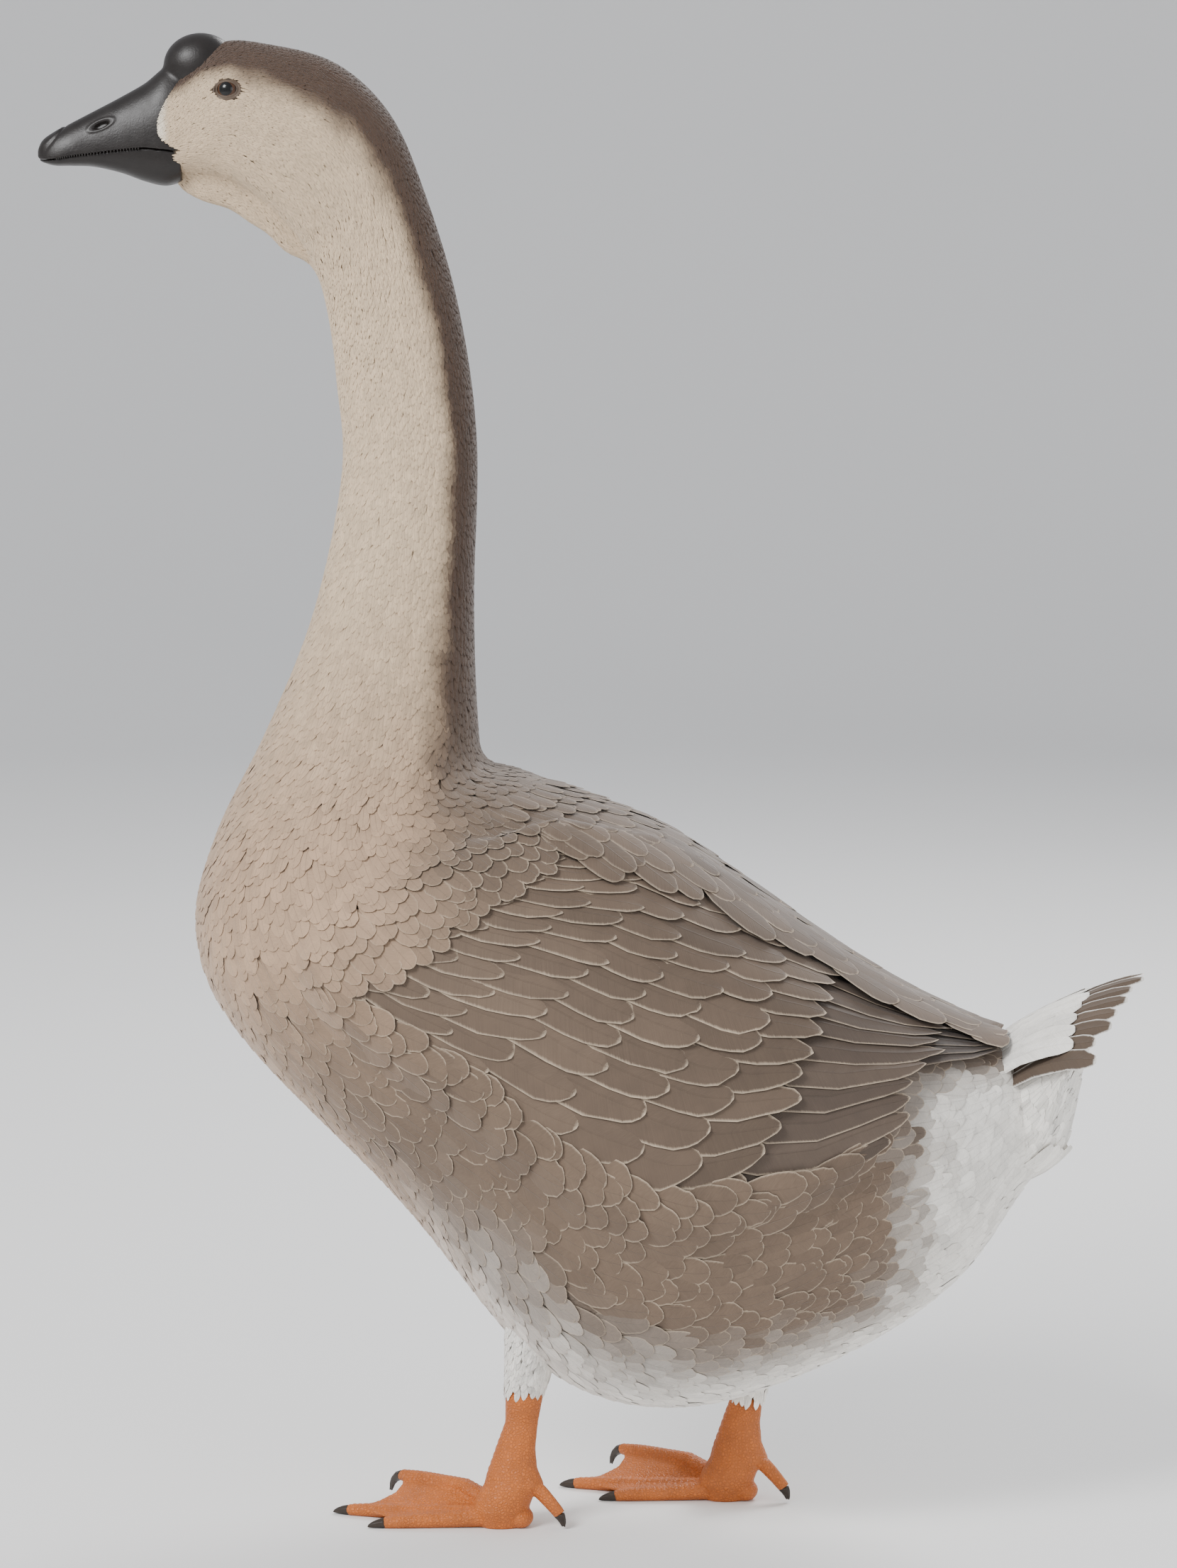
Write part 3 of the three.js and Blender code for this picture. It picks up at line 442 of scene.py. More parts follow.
def ring_of(name, points):
    """A closed ring, points[round the ring, round its profile]."""
    count, sides = points.shape[:2]
    ring, side = np.meshgrid(np.arange(count), np.arange(sides), indexing="ij")
    far, next_side = (ring + 1) % count * sides, (side + 1) % sides
    a, b, c, d = ring * sides + side, ring * sides + next_side, far + next_side, far + side
    faces = np.concatenate([np.stack([a, b, c], -1), np.stack([a, c, d], -1)]).reshape(-1, 3)
    flat = points.reshape(-1, 3)
    corners = flat[faces] - flat.mean(0)
    if np.einsum("fk,fk->", corners[:, 0], np.cross(corners[:, 1], corners[:, 2])) < 0:
        faces = faces[:, ::-1]
    return object_of(name, flat, faces)


def points_of(mesh, what="co"):
    """Places of a mesh's points, or their normals."""
    values = np.empty(len(mesh.vertices) * 3, dtype=np.float32)
    mesh.vertices.foreach_get(what, values)
    return values.reshape(-1, 3).astype(float)


def move_points(piece, points):
    piece.data.vertices.foreach_set("co", np.ascontiguousarray(points, dtype=np.float32).ravel())
    piece.data.update()


def paint(mesh, name, values):
    """Stores one number, vector or colour for each point."""
    values = np.asarray(values, dtype=np.float32)
    if values.ndim == 1:
        mesh.attributes.new(name, "FLOAT", "POINT").data.foreach_set("value", values)
    else:
        mesh.attributes.new(name, "FLOAT_VECTOR", "POINT").data.foreach_set("vector", values.ravel())


def tube_faces(rings, sides):
    """Triangles of a closed tube of rings, with a fan over each end."""
    faces = []
    for ring in range(rings - 1):
        for side in range(sides):
            a = ring * sides + side
            b = ring * sides + (side + 1) % sides
            faces += [(a, b, b + sides), (a, b + sides, a + sides)]
    last = (rings - 1) * sides
    for side in range(1, sides - 1):
        faces += [(0, side + 1, side), (last, last + side, last + side + 1)]
    return np.array(faces)


def tubes(name, points, *, patches=None, for_points=None, **painted):
    """One object from closed tubes, points[tube, ring, side], with values painted on tubes or points."""
    count, rings, sides = points.shape[:3]
    faces = tube_faces(rings, sides)
    flat = points.reshape(count, -1, 3)
    centred = flat - flat.mean(1, keepdims=True)
    a, b, c = (centred[:, faces[:, k]] for k in range(3))
    inward = np.einsum("tfk,tfk->t", a, np.cross(b, c)) < 0
    every = np.repeat(faces[None], count, 0)
    every[inward] = every[inward][:, :, ::-1]
    every += (np.arange(count) * rings * sides)[:, None, None]
    piece = object_of(name, flat.reshape(-1, 3), every.reshape(-1, 3))
    piece.data.set_sharp_from_angle(angle=math.radians(75))
    for key, values in painted.items():
        paint(piece.data, key, np.repeat(values, rings * sides, 0))
    for key, values in (for_points or {}).items():
        paint(piece.data, key, values.reshape(-1, 3))
    if patches is not None:
        layer = piece.data.uv_layers.new(name="OFBake")
        corners = patches.reshape(-1, 2)[every.reshape(-1)]
        layer.uv.foreach_set("vector", corners.astype(np.float32).ravel())
    return piece


# ---------------------------------------------------------------- surfaces of the body


def curve_through(values, places):
    """Catmull-Rom curve through evenly numbered rows, read at places between them."""
    values = np.asarray(values, dtype=float)
    last = len(values) - 1
    index = np.clip(np.floor(places).astype(int), 0, last - 1)
    t = (places - index).reshape(-1, *[1] * (values.ndim - 1))
    before, after, beyond = (values[np.clip(index + k, 0, last)] for k in (-1, 1, 2))
    here = values[index]
    rise, next_rise = (after - before) / 2, (beyond - here) / 2
    turn = 3 * (after - here) - 2 * rise - next_rise
    return here + rise * t + turn * t**2 + (2 * (here - after) + rise + next_rise) * t**3


def grid_rows(last):
    """Places of a grid's rings from row 0 to the last row."""
    return np.linspace(0, last, last * GRID_PER_ROW + 1)


def full_turn(count):
    """Evenly spaced angles once round."""
    return np.linspace(0, 2 * math.pi, count, endpoint=False)


def blurred(grid, passes):
    """A grid smoothed along the body and round it."""
    for _ in range(passes):
        padded = np.concatenate([2 * grid[:1] - grid[1:2], grid, 2 * grid[-1:] - grid[-2:-1]])
        grid = (padded[:-2] + 2 * padded[1:-1] + padded[2:]) / 4
        grid = (np.roll(grid, 1, 1) + 2 * grid + np.roll(grid, -1, 1)) / 4
    return grid


class Surface:
    """A smooth tube of grid points, read by place along it and by angle round it."""

    def __init__(self, points, centre, bake_box, passes=2):
        self.bake_box = bake_box
        self.points = blurred(points, passes)
        self.sides = points.shape[1]
        self.last = (len(points) - 1) / GRID_PER_ROW
        self.along = np.gradient(self.points, 1 / GRID_PER_ROW, axis=0)
        step = 2 * math.pi / self.sides
        self.round = (np.roll(self.points, -1, 1) - np.roll(self.points, 1, 1)) / (2 * step)
        normal = np.cross(self.along, self.round)
        normal /= np.maximum(np.linalg.norm(normal, axis=2, keepdims=True), 1e-12)
        if np.einsum("rsk,rsk->", normal, points - centre[:, None]) < 0:
            normal = -normal
        self.normal = blurred(normal, 2)

    def read(self, grid, place, angle):
        row = np.clip(place, 0, self.last - 1e-6) * GRID_PER_ROW
        side = angle / (2 * math.pi) * self.sides
        r0, s0 = np.floor(row).astype(int), np.floor(side).astype(int) % self.sides
        r1, s1 = np.minimum(r0 + 1, len(grid) - 1), (s0 + 1) % self.sides
        fr, fs = (row - r0)[..., None], (side - np.floor(side))[..., None]
        near = grid[r0, s0] * (1 - fs) + grid[r0, s1] * fs
        far = grid[r1, s0] * (1 - fs) + grid[r1, s1] * fs
        return near * (1 - fr) + far * fr

    def at(self, place, angle, height=0.0):
        normal = self.read(self.normal, place, angle)
        normal = normal / np.linalg.norm(normal, axis=-1, keepdims=True)
        beyond = np.maximum(place - self.last, 0)[..., None] * self.read(self.along, place, angle)
        return self.read(self.points, place, angle) + beyond + normal * np.asarray(height)[..., None]

    def scale(self, place, angle):
        """Metres for each row along the surface, and for each radian round it."""
        along = np.linalg.norm(self.read(self.along, place, angle), axis=-1)
        around = np.linalg.norm(self.read(self.round, place, angle), axis=-1)
        return np.maximum(along, 1 * MM), np.maximum(around, 1 * MM)

    def shell(self, name, depth, start, end):
        """A closed skin under the surface by depth(place, angle)."""
        rows = np.linspace(start, end, int((end - start) * GRID_PER_ROW) + 1)
        place, angle = np.meshgrid(rows, full_turn(self.sides), indexing="ij")
        return tubes(name, self.at(place, angle, -depth(place, angle))[None])

    def bake_place(self, place, angle):
        """Place on the flat unwrap that skin and feathers share."""
        u0, v0, u1, v1 = self.bake_box
        u = u0 + (u1 - u0) * ((angle / (2 * math.pi)) % 1)
        return np.stack([u, v0 + (v1 - v0) * np.clip(place / self.last, 0, 1)], -1)


def arched(middle, side, place):
    """Points on an arch over points in the middle and at the side. place is -1 to 1 from side to side."""
    back, fall = np.abs(place) ** 1.05, np.abs(place) ** 1.5
    x = middle[..., 0] * (1 - back) + side[..., 0] * back
    return np.stack([x, side[..., 1] * place, middle[..., 2] * (1 - fall) + side[..., 2] * fall], -1)


class Fan:
    """An arched fan of the tail, read by share from root to tip and by place from side to side, -1 to 1."""

    def __init__(self, shape, sense, bake_box):
        self.middle, self.side = (np.array(shape[key], dtype=float) * MM for key in ("middle", "side"))
        self.sense = sense
        self.bake_box = bake_box

    @staticmethod
    def arc(curve, share):
        start, through, end = curve
        bend = 2 * through - (start + end) / 2
        t = share[..., None]
        return start * (1 - t) ** 2 + bend * 2 * t * (1 - t) + end * t**2

    def at(self, share, place, height=0.0):
        share, place, height = np.broadcast_arrays(share, place, height)
        rise = self.sense * height
        return arched(self.arc(self.middle, share), self.arc(self.side, share), place) + np.stack(
            [-0.25 * rise, 0.35 * rise * place, 0.9 * rise], -1
        )

    def scale(self, share, place):
        small = 0.01
        along = self.at(share + small, place) - self.at(share - small, place)
        around = self.at(share, place + small) - self.at(share, place - small)
        return tuple(np.linalg.norm(run, axis=-1) / (2 * small) for run in (along, around))

    def bake_place(self, share, place):
        u0, v0, u1, v1 = self.bake_box
        across = u0 + (u1 - u0) * np.clip(place * 0.4 + 0.5, 0, 1)
        return np.stack([across, v0 + (v1 - v0) * np.clip(share, 0, 1)], -1)


def over_dewlap(points, centre):
    """Draws points[row, side] of the body out to the dewlap, where that stands out further."""
    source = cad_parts["dewlap"]
    corners = [source.matrix_world @ vertex.co for vertex in source.data.vertices]
    dewlap = BVHTree.FromPolygons(corners, [list(face.vertices) for face in source.data.polygons])
    reach = 0.12
    for row in range(int(DEWLAP_END * GRID_PER_ROW)):
        for side in range(GRID_ROUND // 3, GRID_ROUND * 2 // 3):
            away = points[row, side] - centre[row]
            out = np.linalg.norm(away)
            away /= out
            hit = dewlap.ray_cast(Vector(centre[row] + away * reach), Vector(-away), reach)[0]
            if hit and np.linalg.norm(np.array(hit) - centre[row]) > out:
                points[row, side] = hit


def bulge(value):
    """Sine or cosine of a row's oval, fuller than that of a circle."""
    return np.sign(value) * np.abs(value) ** (2 / FULLNESS)


def trunk_surface():
    """Head, dewlap, neck, body and the root of the tail as one surface."""
    rows = grid_rows(len(ROWS) - 1)
    back, front = (
        curve_through([(row[end][0], 0, row[end][1]) for row in ROWS], rows) * MM for end in (0, 1)
    )
    wide = curve_through([row[2] for row in ROWS], rows)[:, None] * MM
    egg = curve_through([row[3] for row in ROWS], rows)[:, None]
    centre, half = (back + front) / 2, np.linalg.norm(back - front, axis=1)[:, None] / 2
    up = (back - front) / (2 * half)
    turn = full_turn(GRID_ROUND)[None]
    depth = half * bulge(np.cos(turn))
    across = wide * bulge(np.sin(turn)) * (1 + egg * np.cos(turn))
    points = centre[:, None] + up[:, None] * depth[..., None] + np.array([0, 1, 0]) * across[..., None]
    over_dewlap(points, centre)
    return Surface(points, centre, BAKE_BOXES["trunk"])


def thigh_surface(side):
    leg = LEGS[side]
    height, behind, long, wide, apart = curve_through(THIGH, grid_rows(len(THIGH) - 1)).T[:, :, None] * MM
    drop = (THIGH[-1][0] - leg["hock"]) * MM
    turn = full_turn(60)[None]
    x = leg["ankle"] * MM + leg["size"] * (behind + long * np.cos(turn))
    y = leg["out"] * apart + leg["size"] * wide * np.sin(turn)
    points = np.stack([x, y, np.broadcast_to(height - drop, x.shape)], -1)
    return Surface(points, points.mean(1), BAKE_BOXES[f"thigh_{side}"])


def mixed(first, second, share):
    """Points or colours that pass from the first to the second by a share."""
    share = np.asarray(share)[..., None]
    return np.asarray(first) * (1 - share) + np.asarray(second) * share


def eased(value, low, high):
    """0 below low and 1 above high, with a smooth step between."""
    t = np.clip((value - low) / (high - low), 0, 1)
    return t * t * (3 - 2 * t)


def turned(angle):
    """Angle from the middle of the back, whichever side."""
    return np.abs((angle + math.pi) % (2 * math.pi) - math.pi)


def even(value):
    """A depth, gap or truth that is the same everywhere on a surface."""
    return lambda place, angle: np.full(place.shape, value)


# ---------------------------------------------------------------- the coat's looks


def coat_depth(place):
    """Depth of the coat at places along the body."""
    sizes = bpy.context.scene.goose_sizes
    head, neck = sizes.coat_head, sizes.coat_neck
    return np.interp(place, [0, 5, 6.5, 10, 11.5], [head, 1.2 * head, neck, 1.3 * neck, sizes.coat_body])


def ragged(points, rng, size, waves=7):
    """Smooth seeded noise round 0 over points, with features of about this size."""
    total = np.zeros(points.shape[:-1])
    for _ in range(waves):
        direction = rng.normal(size=3)
        direction /= np.linalg.norm(direction)
        wave = 2 * math.pi / (size * rng.uniform(0.6, 1.7))
        total += np.sin(points @ direction * wave + rng.uniform(0, 2 * math.pi))
    return total / math.sqrt(waves)


def plumage(place, angle, points):
    """Ground colour, edge colour and strength of the edge at places on the body. Along the body, marks ease
    in and out between two places, and round it between two angles, in degrees from the middle of the back."""
    look = bpy.context.scene.goose_colours
    rng = np.random.default_rng(5)  # the same patches for skin and feathers
    rough = ragged(points, rng, 22 * MM)
    turn = np.degrees(turned(angle))
    drift = turn + 2.5 * rough
    along = place + 0.12 * rough
    base = np.broadcast_to(np.array(look.cheek), (*place.shape, 3))
    base = mixed(base, look.breast, eased(along, 8.2, 11.4) * 0.95)
    throat = eased(along, 4.4, 6.0) * (1 - eased(along, 7.5, 9.6))
    base = mixed(base, np.array(look.cheek) * 1.12, throat * 0.55)
    stripe_half = np.interp(place, [0, 1, 2, 3, 4.5, 6, 8, 10, 11], [36, 52, 60, 66, 68, 60, 56, 54, 60])
    stripe = 1 - eased(drift, stripe_half - 13, stripe_half + 13)
    fade = mixed(look.crown, look.back, eased(along, 8.8, 11.2))
    base = mixed(base, fade, stripe * 0.97)
    side = eased(along, 12.0, 13.6) * (1 - eased(drift, 138, 168))
    base = mixed(base, look.back, side * 0.92)
    upper = eased(along, 11.0, 12.4) * (1 - eased(drift, 62, 96))
    base = mixed(base, look.back, upper)
    keel = eased(along, 13.6, 15.4) * eased(drift, 118, 158)
    vent = eased(along, 16.7, 17.7) * eased(drift, 34, 66)
    belly = np.maximum(np.maximum(keel, vent), eased(along, 18.9, 19.5))
    base = mixed(base, look.white, belly)
    face = (1 - eased(place + 0.05 * rough, 0.42, 0.75)) * eased(turn, 8, 30)
    base = mixed(base, look.band, face)
    strength = eased(along, 10.6, 13.0) * (0.15 + 0.6 * np.maximum(upper, side)) * (1 - belly)
    return base, np.broadcast_to(np.array(look.edge), base.shape), strength


def feather_material(name, edge_width, streaks, sheen, gloss=0.0):
    """Vanes with barbs, a shaft and a paler edge of about this width. Their colours are painted on them."""
    shader = Shader(name)
    across, along, chance = shader.axes(shader.attribute("vane", "Vector"))
    beside, ahead, barb = shader.axes(shader.attribute("reach", "Vector"))
    far = abs(across)
    patchy = shader.noise(shader.place(), 90, detail=4)
    place = shader.node("ShaderNodeCombineXYZ", {}, [barb * 1100, chance * 40, far * 1.2 + across])
    strands = shader.noise(place, 1)
    frayed = edge_width * (strands * 1.3 + 0.35)
    rim = (1 - (beside / frayed).smooth(-0.1, 1.0)).larger(1 - (ahead / frayed).smooth(0.5, 2.2))
    edge = rim * (0.75 + patchy * 0.4) * shader.attribute("edging", "Fac")
    ground = shader.blend(edge, shader.attribute("ground"), shader.attribute("edge"))
    shaft = 1 - far.smooth(0.015, 0.06)
    lit = patchy * 0.35 + chance * 0.2 + (strands - 0.5) * streaks + along * 0.1 + 0.68
    base = shader.shade(ground, lit - shaft * 0.16 * (1 - along))
    height = strands * 0.9 + shaft * 0.8
    return shader.finish(
        base, 0.66 - gloss + patchy * 0.2, height, 0.22 * MM,
        Sheen_Weight=sheen, Sheen_Roughness=0.45, Specular_IOR_Level=0.3,
    )


def skin_material():
    shader = Shader("goose_skin")
    place = shader.place()
    fluff = shader.noise(place, 420, detail=4)
    base = shader.shade(shader.attribute("ground"), fluff * 0.5 + 0.62)
    return shader.finish(base, 0.9, fluff + shader.noise(place, 90) * 2, 0.9 * MM)


# ---------------------------------------------------------------- feathers

TRIES = 13  # draws for each feather of a coat that is to be filled

# Cross-sections of a feather: place across it, -1 to 1 from edge to edge, and height as a share of its
# thickness.
TUFT_SECTION = [(-1, 0), (0, 1), (1, 0)]
COVERT_SECTION = [(-1, 0), (0, 1), (1, 0), (0, -0.6)]
ROW_SECTION = [(-1, 0), (-0.5, 0.8), (0, 1), (0.5, 0.8), (1, 0), (0, -0.6)]
FLIGHT_SECTION = [
    (-1, 0), (-0.55, 0.75), (-0.06, 0.9), (0, 1.5), (0.06, 0.9), (0.55, 0.75), (1, 0), (0, -0.8),
]

# Outlines of a feather from root to tip: share of its length, and share of its half width there.
TUFT_OUTLINE = [(0, 0.5), (0.35, 1), (0.75, 0.8), (1, 0.06)]
STRAND_OUTLINE = [(0, 0.4), (0.3, 0.9), (0.55, 1), (0.76, 0.8), (0.91, 0.45), (1, 0.06)]
SOFT_OUTLINE = [
    (0, 0.3), (0.3, 0.82), (0.55, 1), (0.72, 0.97), (0.82, 0.86), (0.89, 0.72), (0.94, 0.54), (0.98, 0.3),
    (1, 0.06),
]
ROUND_OUTLINE = [
    (0, 0.3), (0.25, 0.85), (0.5, 1), (0.7, 1), (0.82, 0.93), (0.9, 0.77), (0.95, 0.57), (0.985, 0.32),
    (1, 0.1),
]
FLIGHT_OUTLINE = [
    (0, 0.35), (0.12, 0.8), (0.3, 0.95), (0.48, 1), (0.64, 1), (0.77, 0.95), (0.87, 0.82), (0.94, 0.62),
    (0.98, 0.38), (1, 0.12),
]


def shares_of(outline):
    return np.array([share for share, _ in outline])


def spread_points(surface, spacing, keep, start, end, rng):
    """Places and angles on a surface about spacing(place, angle) apart, where keep(place, angle) holds."""
    samples = np.meshgrid(np.linspace(start, end, 60), full_turn(48), indexing="ij")
    most = crowding(surface, spacing, *samples).max()
    count = int((end - start) * 2 * math.pi * TRIES * most)
    place, angle = rng.uniform(start, end, count), rng.uniform(0, 2 * math.pi, count)
    wanted = crowding(surface, spacing, place, angle) > rng.uniform(0, most, count)
    wanted &= keep(place, angle)
    place, angle = place[wanted], angle[wanted]
    chosen = kept_apart(surface.at(place, angle), spacing(place, angle))
    return place[chosen], angle[chosen]


def crowding(surface, spacing, place, angle):
    """Feathers wanted for each row and radian."""
    along, around = surface.scale(place, angle)
    return along * around / spacing(place, angle) ** 2


def kept_apart(points, gaps):
    """Numbers of the points that stay their gap away from every point chosen before them."""
    cells = np.floor(points / gaps.max()).astype(int)
    near = [(i, j, k) for i in (-1, 0, 1) for j in (-1, 0, 1) for k in (-1, 0, 1)]
    taken, chosen = {}, []
    for index, (point, gap, home) in enumerate(zip(points.tolist(), (gaps**2).tolist(), cells.tolist())):
        px, py, pz = point
        hx, hy, hz = home
        neighbours = (q for i, j, k in near for q in taken.get((hx + i, hy + j, hz + k), ()))
        if all((px - qx) ** 2 + (py - qy) ** 2 + (pz - qz) ** 2 >= gap for qx, qy, qz in neighbours):
            taken.setdefault((hx, hy, hz), []).append(point)
            chosen.append(index)
    return chosen


def traced(surface, place, angle, length, turn, shares):
    """Middle lines of feathers that run back along the body from their roots, turned by an angle."""
    places, angles = [place], [angle]
    for near, far in zip(shares[:-1], shares[1:]):
        along, around = surface.scale(places[-1], angles[-1])
        step = length * (far - near)
        places.append(places[-1] + step * np.cos(turn) / along)
        angles.append(angles[-1] + step * np.sin(turn) / around)
    return np.stack(places, 1), np.stack(angles, 1)


def feathers(name, surface, path, width, height, *, outline, section, thickness, looks, rng, camber,
             patch=0.0015, notches=0.25, turn=0.0, tilt=0.0, lift_at=even(0.0)):
    """Feathers along paths of places and angles on a surface. Widths and heights may differ along a feather.
    tilt lifts one edge of a feather over the other, and lift_at(place, angle) drapes them over what lies on
    the surface."""
    places, angles = path
    count, rings = places.shape
    shares = shares_of(outline)
    broad = np.array([half for _, half in outline])
    across, lift = np.array(section).T
    width = np.broadcast_to(np.reshape(width, (count, -1)), (count, rings))
    half = np.repeat((width / 2 * broad)[:, :, None], len(section), 2)
    torn = rng.uniform(0, 1, (count, rings, 2)) ** 2 * notches * shares[None, :, None] ** 2
    torn[:, [0, -1]] = 0
    for side, sign in enumerate((-1, 1)):
        outer = across * sign > 0.9
        half[:, :, outer] *= 1 - torn[:, :, side, None]
    along, around = surface.scale(places, angles)
    turn = np.reshape(np.broadcast_to(turn, count), (-1, 1, 1))
    sideways = half * across
    place = places[:, :, None] - sideways * np.sin(turn) / along[:, :, None]
    angle = angles[:, :, None] + sideways * np.cos(turn) / around[:, :, None]
    slim = np.minimum(1, np.sqrt(broad) * 1.1)[None, :, None]
    rise = height[:, :, None] + lift * thickness * slim - camber * width[:, :, None] * across**2 * 0.5
    rise = rise + np.reshape(np.broadcast_to(tilt, count), (-1, 1, 1)) * across
    points = surface.at(place, angle, rise + lift_at(place, angle))
    spine = np.linalg.norm(np.diff(points[:, :, 0], axis=1), axis=2)
    run = np.concatenate([np.zeros((count, 1)), np.cumsum(spine, 1)], 1)[:, :, None]
    vane = np.empty((count, rings, len(section), 3))
    vane[..., 0] = across
    vane[..., 1] = shares[None, :, None]
    vane[..., 2] = rng.uniform(0, 1, (count, 1, 1))
    reach = np.empty_like(vane)
    reach[..., 0] = half * (1 - np.abs(across))
    reach[..., 1] = run[:, -1:] - run
    reach[..., 2] = run - np.abs(sideways) * 0.8
    bake = surface.bake_place(places[:, 0], angles[:, 0])
    local = np.stack([vane[..., 0] * 0.9, vane[..., 1] * 2 - 1], -1)
    ground, edge, edging = looks
    return tubes(
        name, points, patches=bake[:, None, None] + local * patch, for_points={"vane": vane, "reach": reach},
        ground=ground, edge=edge, edging=edging,
    )


def eased_table(value, places, values):
    """A table read with a gentle ease at each of its places."""
    places, values = np.asarray(places, dtype=float), np.asarray(values, dtype=float)
    index = np.clip(np.searchsorted(places, value) - 1, 0, len(places) - 2)
    share = np.clip((value - places[index]) / (places[index + 1] - places[index]), 0, 1)
    share = (share + eased(share, 0, 1)) / 2
    return values[index] + (values[index + 1] - values[index]) * share


def wing_edges(place):
    """Angles of the wing's upper and lower edge."""
    edges = (WING_EDGES["upper"], WING_EDGES["lower"])
    return tuple(np.radians(eased_table(place, WING_EDGES["place"], edge)) for edge in edges)


def wing_path(side, along, across):
    """Place and angle on the body for shares along and across the wing."""
    place = WING_FRONT + (WING_TIP - WING_FRONT) * along
    upper, lower = wing_edges(place)
    return place, SIDES[side] * (upper + (lower - upper) * across)


def wing_shares(place, angle):
    """Shares along and across the wing for a place and angle on the body."""
    upper, lower = wing_edges(place)
    return (place - WING_FRONT) / (WING_TIP - WING_FRONT), (turned(angle) - upper) / (lower - upper)


def wing_flesh_end(across):
    """Share along the wing where its flesh and its shorter flight feathers end."""
    return 0.8 - 0.19 * across


def under_wing(place, angle):
    """True where the folded wing hides the body."""
    along, across = wing_shares(place, angle)
    inner = (along < wing_flesh_end(across)) & (across > 0.08) & (across < 0.95)
    tip = (along < 0.86) & (across > 0.15) & (across < 0.5)
    return (along > 0.06) & (inner | tip)


def on_flank(place, angle):
    """1 on the flank under the wing's lower edge, 0 away from it."""
    along, across = wing_shares(place, angle)
    below = eased(across, 0.85, 1.0) * (1 - eased(across, 1.25, 1.5))
    return below * eased(along, 0.02, 0.15) * (1 - eased(along, 0.55, 0.75))


def wing_top(place, angle):
    """Height over the body of the uppermost wing feathers, easing to 0 round the wing."""
    along, across = wing_shares(place, angle)
    top = (WING_HEIGHT - WING_FALL * eased(along, 0.6, 1)) * eased(along, -0.05, 0.08)
    return top * eased(across, -0.1, 0.04) * (1 - eased(across, 0.97, 1.12)) * MM


def over_wing(place, angle):
    """Height to which the coat climbs on the wing's edges. It stays under the wing's tip."""
    along, _ = wing_shares(place, angle)
    return wing_top(place, angle) * (1 - eased(along, 0.6, 0.76))


def mantle_top(place, angle):
    """Height of the mantle, which bridges the hollow between the wings."""
    bridge = eased(place, 12.4, 14.2) * (1 - 0.6 * eased(place, 17.4, 19.2))
    return np.maximum(wing_top(place, angle), MANTLE_HEIGHT * MM * bridge)


def mantle_half(place):
    """Angle from the middle of the back to the mantle's edge."""
    upper, _ = wing_edges(place)
    return np.minimum(upper, 0.6) + math.radians(9)


def under_mantle(place, angle):
    return (place > 13.4) & (place < 18.3) & (turned(angle) < mantle_half(place) - math.radians(6))


def skin_depth(place, angle):
    """Depth of the skin under the body's surface. Under the wings it stands out, as the wing's flesh, and it
    draws back round the mouth and the eyes."""
    along, across = wing_shares(place, angle)
    rear = wing_flesh_end(across)
    flesh = (5.2 - 3.6 * eased(along, 0.1, 0.62)) * eased(along, 0.02, 0.16)
    flesh = flesh * (1 - eased(along, rear - 0.08, rear))
    flesh = flesh * eased(across, 0.03, 0.18) * (1 - eased(across, 0.82, 0.97))
    covered = np.clip(flesh / 1.5, 0, 1)
    points = Body.trunk().at(place, angle)
    drawn = eased(bill_border(points), -1, 3) * 3.6 + (1 - eased(from_eye(points), 5.5 * MM, 9 * MM)) * 4
    dewlap = eased(turned(angle), 1.5, 1.9) * (1 - eased(place, 5.2, 6.5))
    spare = (0.25 + 0.6 * dewlap) * MM
    return (coat_depth(place) + spare) * (1 - covered) + (drawn - flesh) * MM


def eye_axis(side):
    return Vector((-0.2, SIDES[side], 0.1)).normalized()


def eye_middle(side):
    return np.array([EYE["x"], SIDES[side] * EYE["y"], EYE["z"]]) * MM


def eye_frame(side):
    """Unit vectors forwards, up and out of an eye."""
    out = np.array(eye_axis(side))
    forwards = np.array([-1.0, 0, 0]) - out * np.dot(out, [-1.0, 0, 0])
    forwards /= np.linalg.norm(forwards)
    up = np.cross(out, forwards)
    return forwards, up * np.sign(up[2]), out


def from_eye(points):
    """Distance from the middle of the nearer eye, measured so that its lids' oval is round."""
    nearest = np.full(points.shape[:-1], np.inf)
    for side, sense in SIDES.items():
        forwards, up, _ = eye_frame(side)
        off = points - eye_middle(side)
        oval = np.hypot(off @ forwards, off @ up * 1.15)
        nearest = np.where(points[..., 1] * sense > 0, oval, nearest)
    return nearest


def bill_border(points):
    """How far points lie ahead of the curved border between horn and feathers, in mm."""
    x, z = points[..., 0] / MM, points[..., 2] / MM
    heights = [798, 812, 818, 821, 824, 830, 842, 852, 864]
    border = [-248, -249, -249, -244.5, -252, -260, -262, -256, -247]
    return np.interp(z, heights, border) - x


class Body:
    """The surfaces that the operators share, each made when first asked for."""

    made = {}

    @classmethod
    def surface(cls, name, make, *values):
        if name not in cls.made:
            cls.made[name] = make(*values)
        return cls.made[name]

    @classmethod
    def trunk(cls):
        return cls.surface("trunk", trunk_surface)

    @classmethod
    def tail(cls):
        return cls.surface("tail", tail_surface)

    @classmethod
    def thigh(cls, side):
        return cls.surface(f"thigh_{side}", thigh_surface, side)


